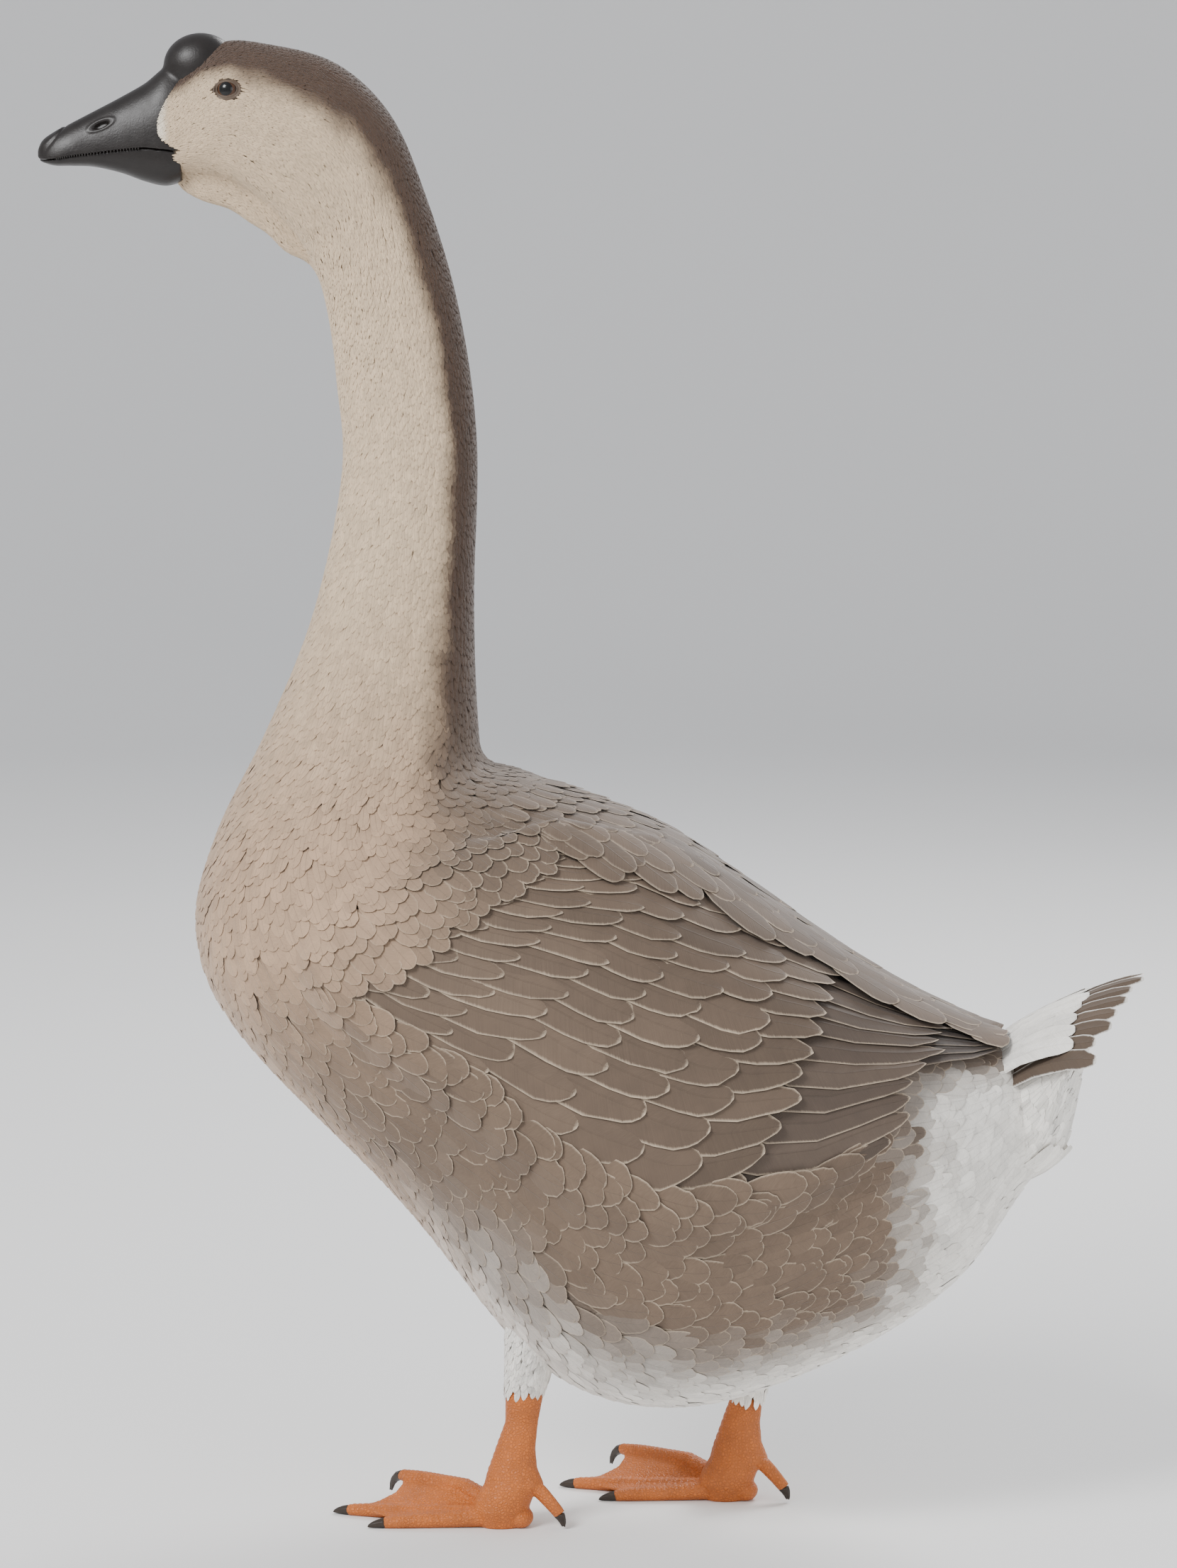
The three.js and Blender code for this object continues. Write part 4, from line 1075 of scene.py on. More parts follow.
def tail_surface():
    """Solid flesh that the tail feathers are rooted in, as a surface with rounded sides."""
    rows = grid_rows(len(TAIL_FLESH["share"]) - 1)
    share = curve_through(TAIL_FLESH["share"], rows)[:, None]
    middle, side = (curve_through(TAIL_FLESH[key], rows)[:, None] * MM for key in ("middle", "side"))
    place = np.linspace(-1, 1, TAIL_TOP)[None]
    fall = np.linspace(0, 1, TAIL_SIDE + 2)[None, 1:-1]
    upper = Fan(RECTRICES, 1, None).at(share, place, -4 * MM)
    lower = arched(middle, side, place[:, ::-1])
    right, left = mixed(upper[:, -1:], lower[:, :1], fall), mixed(lower[:, -1:], upper[:, :1], fall)
    right[..., 1] += 4 * MM * np.sin(np.pi * fall)
    left[..., 1] -= 4 * MM * np.sin(np.pi * fall)
    points = np.concatenate([upper, right, lower, left], 1)
    return Surface(points, points.mean(1), BAKE_BOXES["tail"], passes=3)


class GOOSE_OT_skin(bpy.types.Operator):
    """Models one skin under the whole coat, from the bill's base to the tail, with dewlap and thighs"""

    bl_idname = "goose.skin"
    bl_label = "Skin"

    def execute(self, context):
        trunk, tail = Body.trunk(), Body.tail()
        shells = [trunk.shell("goose_skin", skin_depth, 0.45, 19.9)]
        shells.append(tail.shell("tail_skin", even(1.1 * MM), 0, tail.last))
        for side in SIDES:
            shells.append(Body.thigh(side).shell("thigh_skin", even(1.6 * MM), 0.2, 3.9))
        body = take_up(*shells)
        bpy.ops.object.join()
        fused(body, context.scene.goose_sizes.skin_voxel, 2)
        points = points_of(body.data)
        tree = KDTree(trunk.points.shape[0] * GRID_ROUND)
        for index, point in enumerate(trunk.points.reshape(-1, 3)):
            tree.insert(point, index)
        tree.balance()
        nearest = np.array([tree.find(point)[1] for point in points])
        place = nearest // GRID_ROUND / GRID_PER_ROW
        angle = nearest % GRID_ROUND * 2 * math.pi / GRID_ROUND
        ground, _, _ = plumage(place, angle, points)
        horn = context.scene.goose_colours.horn
        paint(body.data, "ground", mixed(ground, horn, eased(bill_border(points), -1.5, 0.5)))
        covered = [f"{part}_{side}" for part in ("wing", "thigh") for side in SIDES]
        hand_over(body, "plumage_pale", *TRUNK_NODES, "dewlap", *covered, material=skin_material())
        return {"FINISHED"}


class GOOSE_OT_coat(bpy.types.Operator):
    """Covers head, neck, body and thighs with small feathers that lie back along the body"""

    bl_idname = "goose.coat"
    bl_label = "Coat"

    def execute(self, context):
        rng = np.random.default_rng(context.scene.goose_sizes.seed)
        trunk, tail = Body.trunk(), Body.tail()
        fine = feather_material("fine_feathers", 0.8 * MM, 0.15, 0.3)
        soft = feather_material("soft_feathers", 1.5 * MM, 0.4, 0.25)
        zones = [
            # name, from, to, outline, section, slot, material
            ("coat_face", 0.05, 2.4, TUFT_OUTLINE, TUFT_SECTION, "plumage_pale", fine),
            ("coat_head", 2.4, 5.2, TUFT_OUTLINE, TUFT_SECTION, "plumage_pale", fine),
            ("coat_neck_upper", 5.2, 8.0, TUFT_OUTLINE, TUFT_SECTION, "plumage_pale", fine),
            ("coat_neck_lower", 8.0, 10.4, STRAND_OUTLINE, TUFT_SECTION, "plumage_pale", fine),
            ("coat_breast", 10.4, 13.0, SOFT_OUTLINE, COVERT_SECTION, "plumage_pale", soft),
            ("coat_body", 13.0, 16.2, SOFT_OUTLINE, COVERT_SECTION, "plumage_brown", soft),
            ("coat_vent", 16.2, 19.75, SOFT_OUTLINE, COVERT_SECTION, "plumage_white", soft),
        ]
        for name, start, end, outline, section, slot, material in zones:
            place, angle = spread_points(trunk, self.spacing, self.bare, start, end, rng)
            self.cover(name, slot, trunk, (place, angle, place), outline, section, plumage, rng, material)
        parts = [
            # name, surface, where roots are wanted, distance apart in mm, like which place on the trunk,
            # from, to, outline, section
            ("coat_tail", tail, self.below_tail, 5.2, 14, 0, tail.last - 1, SOFT_OUTLINE, COVERT_SECTION)
        ]
        for side in SIDES:
            name, thigh = f"coat_thigh_{side}", Body.thigh(side)
            parts.append((name, thigh, even(True), 3.4, 9, 0.3, 3.75, STRAND_OUTLINE, TUFT_SECTION))
        white = tuple(context.scene.goose_colours.white)

        def white_looks(place, angle, points):
            return row_looks(len(place), white, white, 0.0, rng)

        for name, surface, wanted, gap, like, start, end, outline, section in parts:
            place, angle = spread_points(surface, even(gap * MM), wanted, start, end, rng)
            roots = (place, angle, np.full(place.shape, float(like)))
            self.cover(name, "plumage_white", surface, roots, outline, section, white_looks, rng, soft)
        return {"FINISHED"}

    def cover(self, name, slot, surface, roots, outline, section, colours, rng, material):
        """Feathers from roots on a surface: places, angles, and the places on the trunk whose feathers they
        are like."""
        place, angle, like = roots
        count = len(place)
        gap = self.spacing(like, angle)
        length = gap * np.interp(like, [0, 4, 8, 11, 16], [4.0, 4.2, 4.2, 3.8, 3.6])
        length = length * rng.uniform(0.85, 1.15, count)
        width = gap * np.interp(like, [0, 5, 8, 10.5, 12, 16], [1.35, 1.65, 1.8, 1.9, 1.95, 1.95])
        width = width * rng.uniform(0.88, 1.12, count)
        turn = rng.normal(0, 0.08, count)
        on_trunk = surface is Body.trunk()
        if on_trunk:
            turn = turn - 0.3 * np.sign(np.sin(angle)) * on_flank(place, angle)
        shares = shares_of(outline)
        places, angles = traced(surface, place, angle, length, turn, shares)
        kept = np.ones(count, dtype=bool)
        if on_trunk:
            root, tip = surface.at(place, angle), surface.at(places[:, -1], angles[:, -1])
            clear = (from_eye(root) > EYE_CLEAR["root"] * MM) & (from_eye(tip) > EYE_CLEAR["tip"] * MM)
            kept = clear & (bill_border(root) < 0)
        elif surface is Body.tail():
            kept = self.under_fan(surface, places, angles, width)
        places, angles, like, width, turn = (values[kept] for values in (places, angles, like, width, turn))
        count = len(like)
        depth = coat_depth(like) * rng.uniform(0.96, 1.04, count)
        height = depth[:, None] * (-0.95 + 0.95 * shares[None] ** 0.8)
        if on_trunk:
            height = height + eased(over_wing(places, angles), 0, 4 * MM) * shares[None] * 1.6 * MM
        piece = feathers(
            name, surface, (places, angles), width, height, outline=outline, section=section,
            thickness=np.interp(like.mean(), [0, 6, 9, 12], [0.2, 0.26, 0.26, 0.22]) * MM,
            looks=colours(places[:, 0], angles[:, 0], surface.at(places[:, 0], angles[:, 0])), rng=rng,
            camber=0.06, turn=turn, tilt=rng.normal(0, 0.008, count) * width,
            lift_at=over_wing if on_trunk else even(0.0),
        )
        hand_over(piece, slot, material=material)

    @staticmethod
    def spacing(place, angle):
        """Distance between neighbouring feathers."""
        marks, gaps = [0, 1, 3, 5, 8, 10, 11.5, 13, 20], [0.85, 1.0, 1.3, 1.6, 2.1, 3.0, 4.8, 6.6, 7.0]
        return np.interp(place, marks, gaps) * MM + 3.2 * MM * on_flank(place, angle)

    @staticmethod
    def below_tail(place, angle):
        """True on the sides and the underside of the tail's flesh, away from its upper edges."""
        clear = 5 * MM
        _, around = Body.tail().scale(place + 1.2, angle)
        edge = 2 * math.pi * TAIL_TOP / Body.tail().sides
        return ((angle - edge) * around > clear) & ((2 * math.pi - angle) * around > clear)

    @staticmethod
    def under_fan(surface, places, angles, width):
        """True for feathers that stay under the tail feathers along their middles and both edges."""
        share, across = np.meshgrid(np.linspace(0, 1.1, 45), np.linspace(-1.05, 1.05, 45), indexing="ij")
        fan = Fan(RECTRICES, 1, None).at(share, across).reshape(-1, 3)
        _, around = surface.scale(places, angles)
        under = np.ones(len(places), dtype=bool)
        for side in (-1, 0, 1):
            points = surface.at(places, angles + side * width[:, None] / 2 / around)
            away = ((points[:, :, None, :2] - fan[:, :2]) ** 2).sum(-1)
            under &= (points[..., 2] < fan[away.argmin(-1), 2] - 1.2 * MM).all(1)
        return under

    @staticmethod
    def bare(place, angle):
        """True where wing and mantle leave the body free."""
        return ~(under_wing(place, angle) | under_mantle(place, angle))


def row_looks(count, ground, edge, edging, rng, spread=0.07):
    """Looks of a row of like feathers that differ a little."""
    tone = 1 + rng.normal(0, spread, (count, 1))
    return np.array(ground) * tone, np.broadcast_to(np.array(edge), (count, 3)), np.full(count, edging)


class GOOSE_OT_wings(bpy.types.Operator):
    """Lays the folded wings' feathers in rows, from the primaries up to the smallest coverts"""

    bl_idname = "goose.wings"
    bl_label = "Wings"

    def execute(self, context):
        look = context.scene.goose_colours
        rng = np.random.default_rng(context.scene.goose_sizes.seed + 1)
        flight = feather_material("flight_feathers", 1.6 * MM, 0.2, 0.08, gloss=0.12)
        coverts = feather_material("wing_coverts", 2.2 * MM, 0.3, 0.15, gloss=0.05)
        slate = np.array(look.flight)
        brown = np.array(look.back)
        rows = [
            # name, feathers, shares of the wing: across it, root, tips at both edges; depths at root and tip
            # under the wing's top in mm; ground, edging
            ("primaries", 6, (0.1, 0.6), 0.5, (1.0, 0.93), (7, 1.4), slate, 0.35),
            ("secondaries", 12, (0, 1), 0.44, (0.87, 0.68), (6, 1.1), slate * 0.5 + brown * 0.45, 0.8),
            ("greater_coverts", 13, (0, 1), 0.27, (0.58, 0.5), (4.5, 1), brown * 0.85, 0.95),
            ("median_coverts", 13, (0, 1), 0.24, (0.47, 0.425), (3.2, 0.8), brown * 0.92, 0.95),
            ("median_coverts_small", 14, (0, 1), 0.17, (0.375, 0.35), (3.2, 0.8), brown * 0.96, 0.9),
            ("lesser_coverts", 15, (0, 1), 0.12, (0.295, 0.285), (3, 0.8), brown, 0.85),
            ("lesser_coverts_second", 16, (0, 1), 0.075, (0.225, 0.22), (3, 0.8), brown, 0.8),
            ("lesser_coverts_third", 17, (0, 1), 0.03, (0.165, 0.16), (3, 0.8), brown, 0.75),
            ("lesser_coverts_fourth", 17, (0, 1), -0.005, (0.11, 0.11), (3, 0.8), brown, 0.7),
        ]
        for side in SIDES:
            for row in rows:
                self.lay(side, row, look, rng, flight, coverts)
        return {"FINISHED"}

    def lay(self, side, row, look, rng, flight, coverts):
        name, count, span, root, tips, sunk, ground, edging = row
        long = name in ("primaries", "secondaries")
        outline = FLIGHT_OUTLINE if name == "primaries" else ROUND_OUTLINE
        shares = shares_of(outline)
        pitch = (span[1] - span[0]) / count
        across = span[0] + (np.arange(count) + 0.5) * pitch + rng.normal(0, 0.07, count) * pitch
        tip = tips[0] + (tips[1] - tips[0]) * across + rng.normal(0, 0.008, count)
        along = root + (tip - root)[:, None] * shares[None]
        bow = 0.012 * np.sin(np.pi * shares)[None] * rng.normal(1, 0.5, (count, 1))
        path = wing_path(side, along, across[:, None] + bow)
        upper, lower = wing_edges(path[0])
        _, around = Body.trunk().scale(*path)
        width = (lower - upper) * around * pitch * 1.45 * rng.uniform(0.94, 1.06, (count, 1))
        under = (sunk[0] + (sunk[1] - sunk[0]) * shares[None]) * MM
        height = rng.normal(0, 0.1 * MM, (count, 1)) - under
        piece = feathers(
            f"{name}_{side}", Body.trunk(), path, width, height, outline=outline,
            section=FLIGHT_SECTION if long else ROW_SECTION, thickness=0.35 * MM,
            looks=row_looks(count, ground, look.edge, edging, rng), rng=rng, camber=0.03,
            tilt=SIDES[side] * 0.9 * MM, patch=0.004, lift_at=wing_top,
        )
        hand_over(piece, "plumage_brown", material=flight if long else coverts)


class GOOSE_OT_mantle(bpy.types.Operator):
    """Lays feathers down the back, over the upper edges of the wings"""

    bl_idname = "goose.mantle"
    bl_label = "Mantle"

    def execute(self, context):
        look = context.scene.goose_colours
        rng = np.random.default_rng(context.scene.goose_sizes.seed + 3)
        material = feather_material("mantle_feathers", 2.0 * MM, 0.35, 0.2)
        trunk = Body.trunk()
        roots = []
        for row, place in enumerate(np.arange(12.1, 18.2, 0.27)):
            apart = (7 + 6 * self.growth(place)) * MM
            step = apart / float(trunk.scale(np.array(place), np.array(0.1))[1])
            most = int(float(mantle_half(np.array(place))) / step)
            roots += [(place, (k + 0.5 * (row % 2)) * step, k % 2) for k in range(-most - 1, most + 1)]
        place, angle, raised = np.array(roots).T
        count = len(place)
        place = place + rng.normal(0, 0.04, count)
        angle = angle + rng.normal(0, 0.015, count)
        shares = shares_of(ROUND_OUTLINE)
        turn = rng.normal(0, 0.07, count)
        growth = self.growth(place) * rng.uniform(0.9, 1.1, count)
        rump = 1 - 0.45 * eased(place, 17.0, 18.1)
        path = traced(trunk, place, angle, (24 + 34 * growth) * rump * MM, turn, shares)
        over = eased(wing_top(*path), 2 * MM, 8 * MM)
        height = (4 * shares[None] ** 0.8 - 3) * (1 - over) + (0.7 + 1.1 * shares[None]) * over
        height = (height + 0.6 * raised[:, None] + rng.normal(0, 0.1, (count, 1))) * MM
        ground, edge, _ = row_looks(count, look.back, look.edge, 0.0, rng)
        piece = feathers(
            "mantle", trunk, path, (12 + 11 * growth) * MM, height, outline=ROUND_OUTLINE,
            section=ROW_SECTION, thickness=0.3 * MM, looks=(ground, edge, 0.4 + 0.4 * self.growth(place)),
            rng=rng, turn=turn, camber=0.025, patch=0.003, lift_at=mantle_top,
        )
        hand_over(piece, "plumage_brown", material=material)
        return {"FINISHED"}

    @staticmethod
    def growth(place):
        """How far the feathers have grown from small ones at the neck to long ones on the back, 0 to 1."""
        return eased(place, 12.0, 14.6)


class GOOSE_OT_tail(bpy.types.Operator):
    """Fans out the tail feathers, with their coverts above and below"""

    bl_idname = "goose.tail"
    bl_label = "Tail"

    def execute(self, context):
        look = context.scene.goose_colours
        rng = np.random.default_rng(context.scene.goose_sizes.seed + 2)
        flight = feather_material("tail_feathers", 1.6 * MM, 0.25, 0.1, gloss=0.08)
        downy = feather_material("tail_coverts", 1.6 * MM, 0.5, 0.25)
        white, brown = np.array(look.white), np.array(look.back)
        top = Fan(RECTRICES, 1, BAKE_BOXES["rectrices"])
        over = Fan(UPPER_TAIL_COVERTS, 1, BAKE_BOXES["upper_coverts"])
        lowest = Fan(LOWEST_TAIL_COVERTS, -1, BAKE_BOXES["lowest_coverts"])
        rows = [
            # name, fan, feathers, widest place, shares of the fan at root and tip, height of the roots in
            # mm, ground, edging, material, slot, how loosely they lie
            ("tail_feathers", top, 15, 1, (0, 1), -4, brown * 0.8, 0.95, flight, "plumage_brown", 0),
            ("tail_coverts_long", over, 11, 1, (0, 1), -3, white, 0.0, downy, "plumage_white", 0),
            ("tail_coverts_middle", over, 12, 1, (-0.25, 0.78), -3, white, 0.0, downy, "plumage_white", 0),
            ("tail_coverts_short", over, 12, 1, (-0.5, 0.52), -3, white, 0.0, downy, "plumage_white", 0),
            ("vent_coverts", lowest, 8, 0.8, (0, 1), -6, white, 0.0, downy, "plumage_white", 0.4),
        ]
        for row in rows:
            self.spread(row, look, rng)
        return {"FINISHED"}

    def spread(self, row, look, rng):
        """Feathers side by side over a fan, out to its widest place on each side."""
        name, fan, count, widest, ends, sunk, ground, edging, material, slot, loose = row
        shares = shares_of(FLIGHT_OUTLINE)
        place = np.linspace(-widest, widest, count)
        step = 2 * widest / (count - 1)
        start, end = ends
        longer = rng.normal(0, 0.015, (count, 1)) - loose * rng.uniform(0, 0.22, (count, 1))
        along = start + (end - start) * shares[None] * (1 + longer)
        drift = rng.normal(0, 0.04 + 0.2 * loose, (count, 1))
        drift = drift + loose * rng.normal(0, 0.3, (count, 1)) * shares[None]
        sides = place[:, None] + drift * step
        width = step * (1.5 + 0.3 * loose) * fan.scale(along, sides)[1]
        width = width * (1 + 0.12 * rng.normal(0, loose, (count, 1)))
        rooted = 1 - np.minimum(shares / 0.4, 1)
        height = (sunk * rooted - 1.0 * np.abs(place)[:, None]) * MM
        piece = feathers(
            name, fan, (along, sides), width, height, outline=FLIGHT_OUTLINE, section=FLIGHT_SECTION,
            thickness=0.4 * MM, looks=row_looks(count, ground, look.white, edging, rng, 0.04), rng=rng,
            notches=0.3, camber=0.03, tilt=-np.sign(place) * 0.9 * MM, patch=0.004,
        )
        hand_over(piece, slot, material=material)


def horn_material(name, tint, gloss=0.38):
    shader = Shader(name)
    place = shader.place()
    mottle = shader.noise(place, 120, detail=5)
    fine = shader.noise(place, 900, detail=2)
    base = shader.shade(tint, mottle * 0.8 + 0.6)
    rough = mottle * 0.2 + gloss - 0.1
    return shader.finish(base, rough, mottle + fine * 0.5, 0.16 * MM, Specular_IOR_Level=0.34)


def bill_rings(upper, first, last, count, sides=48):
    """Rings of the upper or lower part of the bill, finely spaced."""
    rows = curve_through(BILL, np.linspace(first, last, count)) * MM
    x, crest, mouth, chin, upper_half, lower_half = rows.T[:, :, None]
    gap = 0.2 * MM
    half = upper_half if upper else lower_half
    flat = mouth + gap if upper else mouth - gap
    top = crest if upper else chin
    arc = np.linspace(0, math.pi, sides)[None]
    across = half * np.sign(np.cos(arc)) * np.abs(np.cos(arc)) ** (0.9 if upper else 0.8)
    z = flat + (top - flat) * np.sin(arc) ** (1.05 if upper else 0.8)
    inner = np.linspace(-1, 1, sides // 2)[1:-1][None]
    across = np.concatenate([across, half * inner], 1)
    z = np.concatenate([z, np.broadcast_to(flat, (count, inner.shape[1]))], 1)
    return np.stack([np.broadcast_to(x, across.shape), across, z], -1)


class GOOSE_OT_bill(bpy.types.Operator):
    """Models the bill with its knob, nail, nostrils and the rows of small teeth along the mouth"""

    bl_idname = "goose.bill"
    bl_label = "Bill"

    def execute(self, context):
        look = context.scene.goose_colours
        horn = horn_material("bill_horn", tuple(look.horn))
        upper = tubes("bill_and_knob", bill_rings(True, 0, 8, 120)[None])
        deselect()
        middle, half = (np.array(KNOB[key]) * MM for key in ("centre", "half"))
        bpy.ops.mesh.primitive_uv_sphere_add(segments=64, ring_count=40, location=middle)
        knob = context.object
        knob.scale = half
        settle(knob)
        take_up(upper, knob)
        bpy.ops.object.join()
        self.carve(fused(upper, 0.6 * MM))
        hand_over(upper, "horn_black", "bill_upper", "knob", material=horn)
        lower = tubes("bill_lower_horn", bill_rings(False, 0.4, 8, 100)[None])
        hand_over(fused(lower, 0.7 * MM, 3), "horn_black", "bill_lower", material=horn)
        self.mouth(look)
        self.teeth(horn)
        return {"FINISHED"}

    def mouth(self, look):
        """Dark flesh that fills the mouth between the two parts of the bill."""
        rows = curve_through(BILL, np.linspace(2, 7.9, 40))
        x, _, mouth, _, _, half = rows.T[:, :, None] * MM
        turn = full_turn(24)[None]
        across, height = (half - 0.9 * MM) * np.cos(turn), mouth + 1.3 * MM * np.sin(turn)
        flesh = tubes("mouth", np.stack([np.broadcast_to(x, across.shape), across, height], -1)[None])
        hand_over(flesh, "horn_black", material=horn_material("mouth_flesh", tuple(look.mouth), 0.5))

    def carve(self, bill):
        """Softens the crease round the knob, then shapes nail and nostrils."""
        group = bill.vertex_groups.new(name="crease")
        points = points_of(bill.data)
        middle, half = (np.array(KNOB[key]) * MM for key in ("centre", "half"))
        off = np.linalg.norm((points - middle) / (half + 4 * MM), axis=1)
        weight = eased(off, 0.62, 0.9) * (1 - eased(off, 1.25, 1.6)) + 0.06
        for index, value in enumerate(weight.tolist()):
            group.add([index], min(value, 1), "REPLACE")
        modify(bill, "SMOOTH", factor=1.0, iterations=45, vertex_group="crease")
        points, normals = points_of(bill.data), points_of(bill.data, "normal")
        x, y, z = (points / MM).T
        nail = np.hypot((x - NAIL["x"]) / NAIL["long"], y / NAIL["wide"])
        shift = 0.45 * (1 - eased(nail, 0.8, 1)) - 0.3 * np.exp(-(((nail - 1.04) / 0.09) ** 2))
        slope = math.atan(NOSTRIL["slope"])
        dx, dz = x - NOSTRIL["x"], z - NOSTRIL["z"]
        long = dx * math.cos(slope) + dz * math.sin(slope)
        high = dz * math.cos(slope) - dx * math.sin(slope)
        hole = np.hypot(long / (NOSTRIL["long"] / 2), high / (NOSTRIL["high"] / 2))
        shift = shift - NOSTRIL["deep"] * (1 - eased(hole, 0.55, 1.05))
        shift = shift + 0.35 * np.exp(-(((hole - 1.45) / 0.3) ** 2))
        move_points(bill, points + normals * (shift * MM)[:, None])

    def teeth(self, horn):
        """Small teeth that hang from the edge of the upper bill."""
        long, wide, high = 0.45 * MM, 0.55 * MM, 0.9 * MM
        corners = [(-1, -1), (1, -1), (1, 1), (-1, 1)]
        rings = [
            [(i * long * broad, j * wide * broad, height * high) for i, j in corners]
            for height, broad in ((0.6, 1), (-0.3, 0.9), (-0.8, 0.5), (-1, 0.15))
        ]
        made = []
        for sense in (-1, 1):
            for x, _, mouth, _, half, _ in curve_through(BILL, np.linspace(2.2, 5.8, 30)) * MM:
                made.append(np.array([x, sense * (half - 0.7 * MM), mouth]) + rings)
        teeth = tubes("bill_teeth", np.array(made))
        hand_over(teeth, "horn_black", material=horn)


class GOOSE_OT_eyes(bpy.types.Operator):
    """Models the eyes with wet fronts, and the lids round them"""

    bl_idname = "goose.eyes"
    bl_label = "Eyes"

    def execute(self, context):
        look = context.scene.goose_colours
        lid = self.lid_material(look)
        for side in SIDES:
            self.ball(side, look)
            self.lids(side, lid)
        return {"FINISHED"}

    def ball(self, side, look):
        deselect()
        radius = EYE["radius"] * MM
        bpy.ops.mesh.primitive_uv_sphere_add(segments=64, ring_count=48, radius=radius)
        ball = bpy.context.object
        ball.name = f"eyeball_{side}"
        ball.rotation_euler = eye_axis(side).to_track_quat("Z", "Y").to_euler()
        ball.location = eye_middle(side)
        settle(ball)
        points, axis = points_of(ball.data), np.array(eye_axis(side))
        facing = ((points - eye_middle(side)) / radius) @ axis
        paint(ball.data, "facing", facing)
        cornea = 0.55 * MM * eased(facing, 0.62, 0.95)
        move_points(ball, points + axis * cornea[:, None])
        shade_smooth(ball)
        shader = Shader(f"eye_{side}")
        facing = shader.attribute("facing", "Fac")
        streaks = shader.noise(shader.place(), 1500, detail=2)
        iris = shader.shade(tuple(look.iris), streaks * 0.9 + 0.55)
        rim, pupil = (0.008, 0.006, 0.005), (0.003, 0.003, 0.003)
        base = shader.blend(facing.smooth(0.64, 0.7), rim, iris)
        base = shader.blend(facing.smooth(0.82, 0.84), base, pupil)
        material = shader.finish(
            base, 0.4, Coat_Weight=0.9, Coat_Roughness=0.02, Coat_IOR=1.38, Specular_IOR_Level=0.1
        )
        hand_over(ball, "eye_brown", f"eye_{side}", material=material)

    def lid_material(self, look):
        shader = Shader("lids")
        wrinkles = shader.cells(shader.place(), 1700)
        # Painted shade: the lids' colour darkens in the creases between the wrinkles, which the bump sinks.
        base = shader.shade(tuple(look.lid), wrinkles * 0.6 + 0.75)
        return shader.finish(base, 0.5, wrinkles, 0.1 * MM)

    def lids(self, side, material):
        """A ring of folded skin with an almond opening. Its profile runs from the eye out under the feathers
        and back."""
        middle, (forwards, up, out) = eye_middle(side), eye_frame(side)
        turn = full_turn(96)[:, None]
        upper = eased(np.sin(turn), -0.3, 0.3)
        profile = [
            # distance beyond the opening, height over the eyeball or the head, share of the head in that
            # height; in mm
            (-0.3, 0.0, 0), (0.0, 0.28, 0), (0.35, 0.55, 0), (0.8, 0.6, 0.1), (1.2, 0.5, 0.45),
            (1.7, 0.25, 0.85), (2.3, -0.3, 1), (3.0, -1.2, 1), (2.6, -3.4, 1), (1.3, -2.4, 0.3),
            (0.2, -1.0, 0),
        ]
        away, height, share = np.array(profile).T[:, None]
        high = EYE_OPENING["high"] - 0.1 * upper
        corners = 0.6 * np.cos(turn) ** 4
        opening = 1 / np.hypot(np.cos(turn) / EYE_OPENING["long"], np.sin(turn) / high) + corners
        distance = opening + away
        along, high = distance * np.cos(turn), distance * np.sin(turn)
        radius = EYE["radius"]
        on_ball = np.sqrt(np.maximum(radius**2 - np.minimum(distance, radius * 0.95) ** 2, 0)) + 0.1
        level = on_ball * (1 - share) + self.head_level(side, along, high) * share
        level = level + height * (0.9 + 0.45 * upper)
        flat = along[..., None] * forwards + high[..., None] * up
        points = middle + (flat + level[..., None] * out) * MM
        lids = ring_of(f"lids_{side}", points)
        modify(lids, "SUBSURF", levels=1, render_levels=1)
        hand_over(lids, "eye_brown", material=material)

    @staticmethod
    def head_level(side, along, high):
        """Height of the head's side over the eye's middle in mm, from a curved sheet fitted to it."""

        def sheet(a, b):
            return np.stack([np.ones_like(a), a, b, a * a, a * b, b * b], -1)

        off = (Body.trunk().points.reshape(-1, 3) - eye_middle(side)) / MM
        near = off[np.linalg.norm(off, axis=1) < 17]
        ahead, above, out = (near @ np.array(axis) for axis in eye_frame(side))
        fitted = np.linalg.lstsq(sheet(ahead, above), out, rcond=None)[0]
        return sheet(along, high) @ fitted


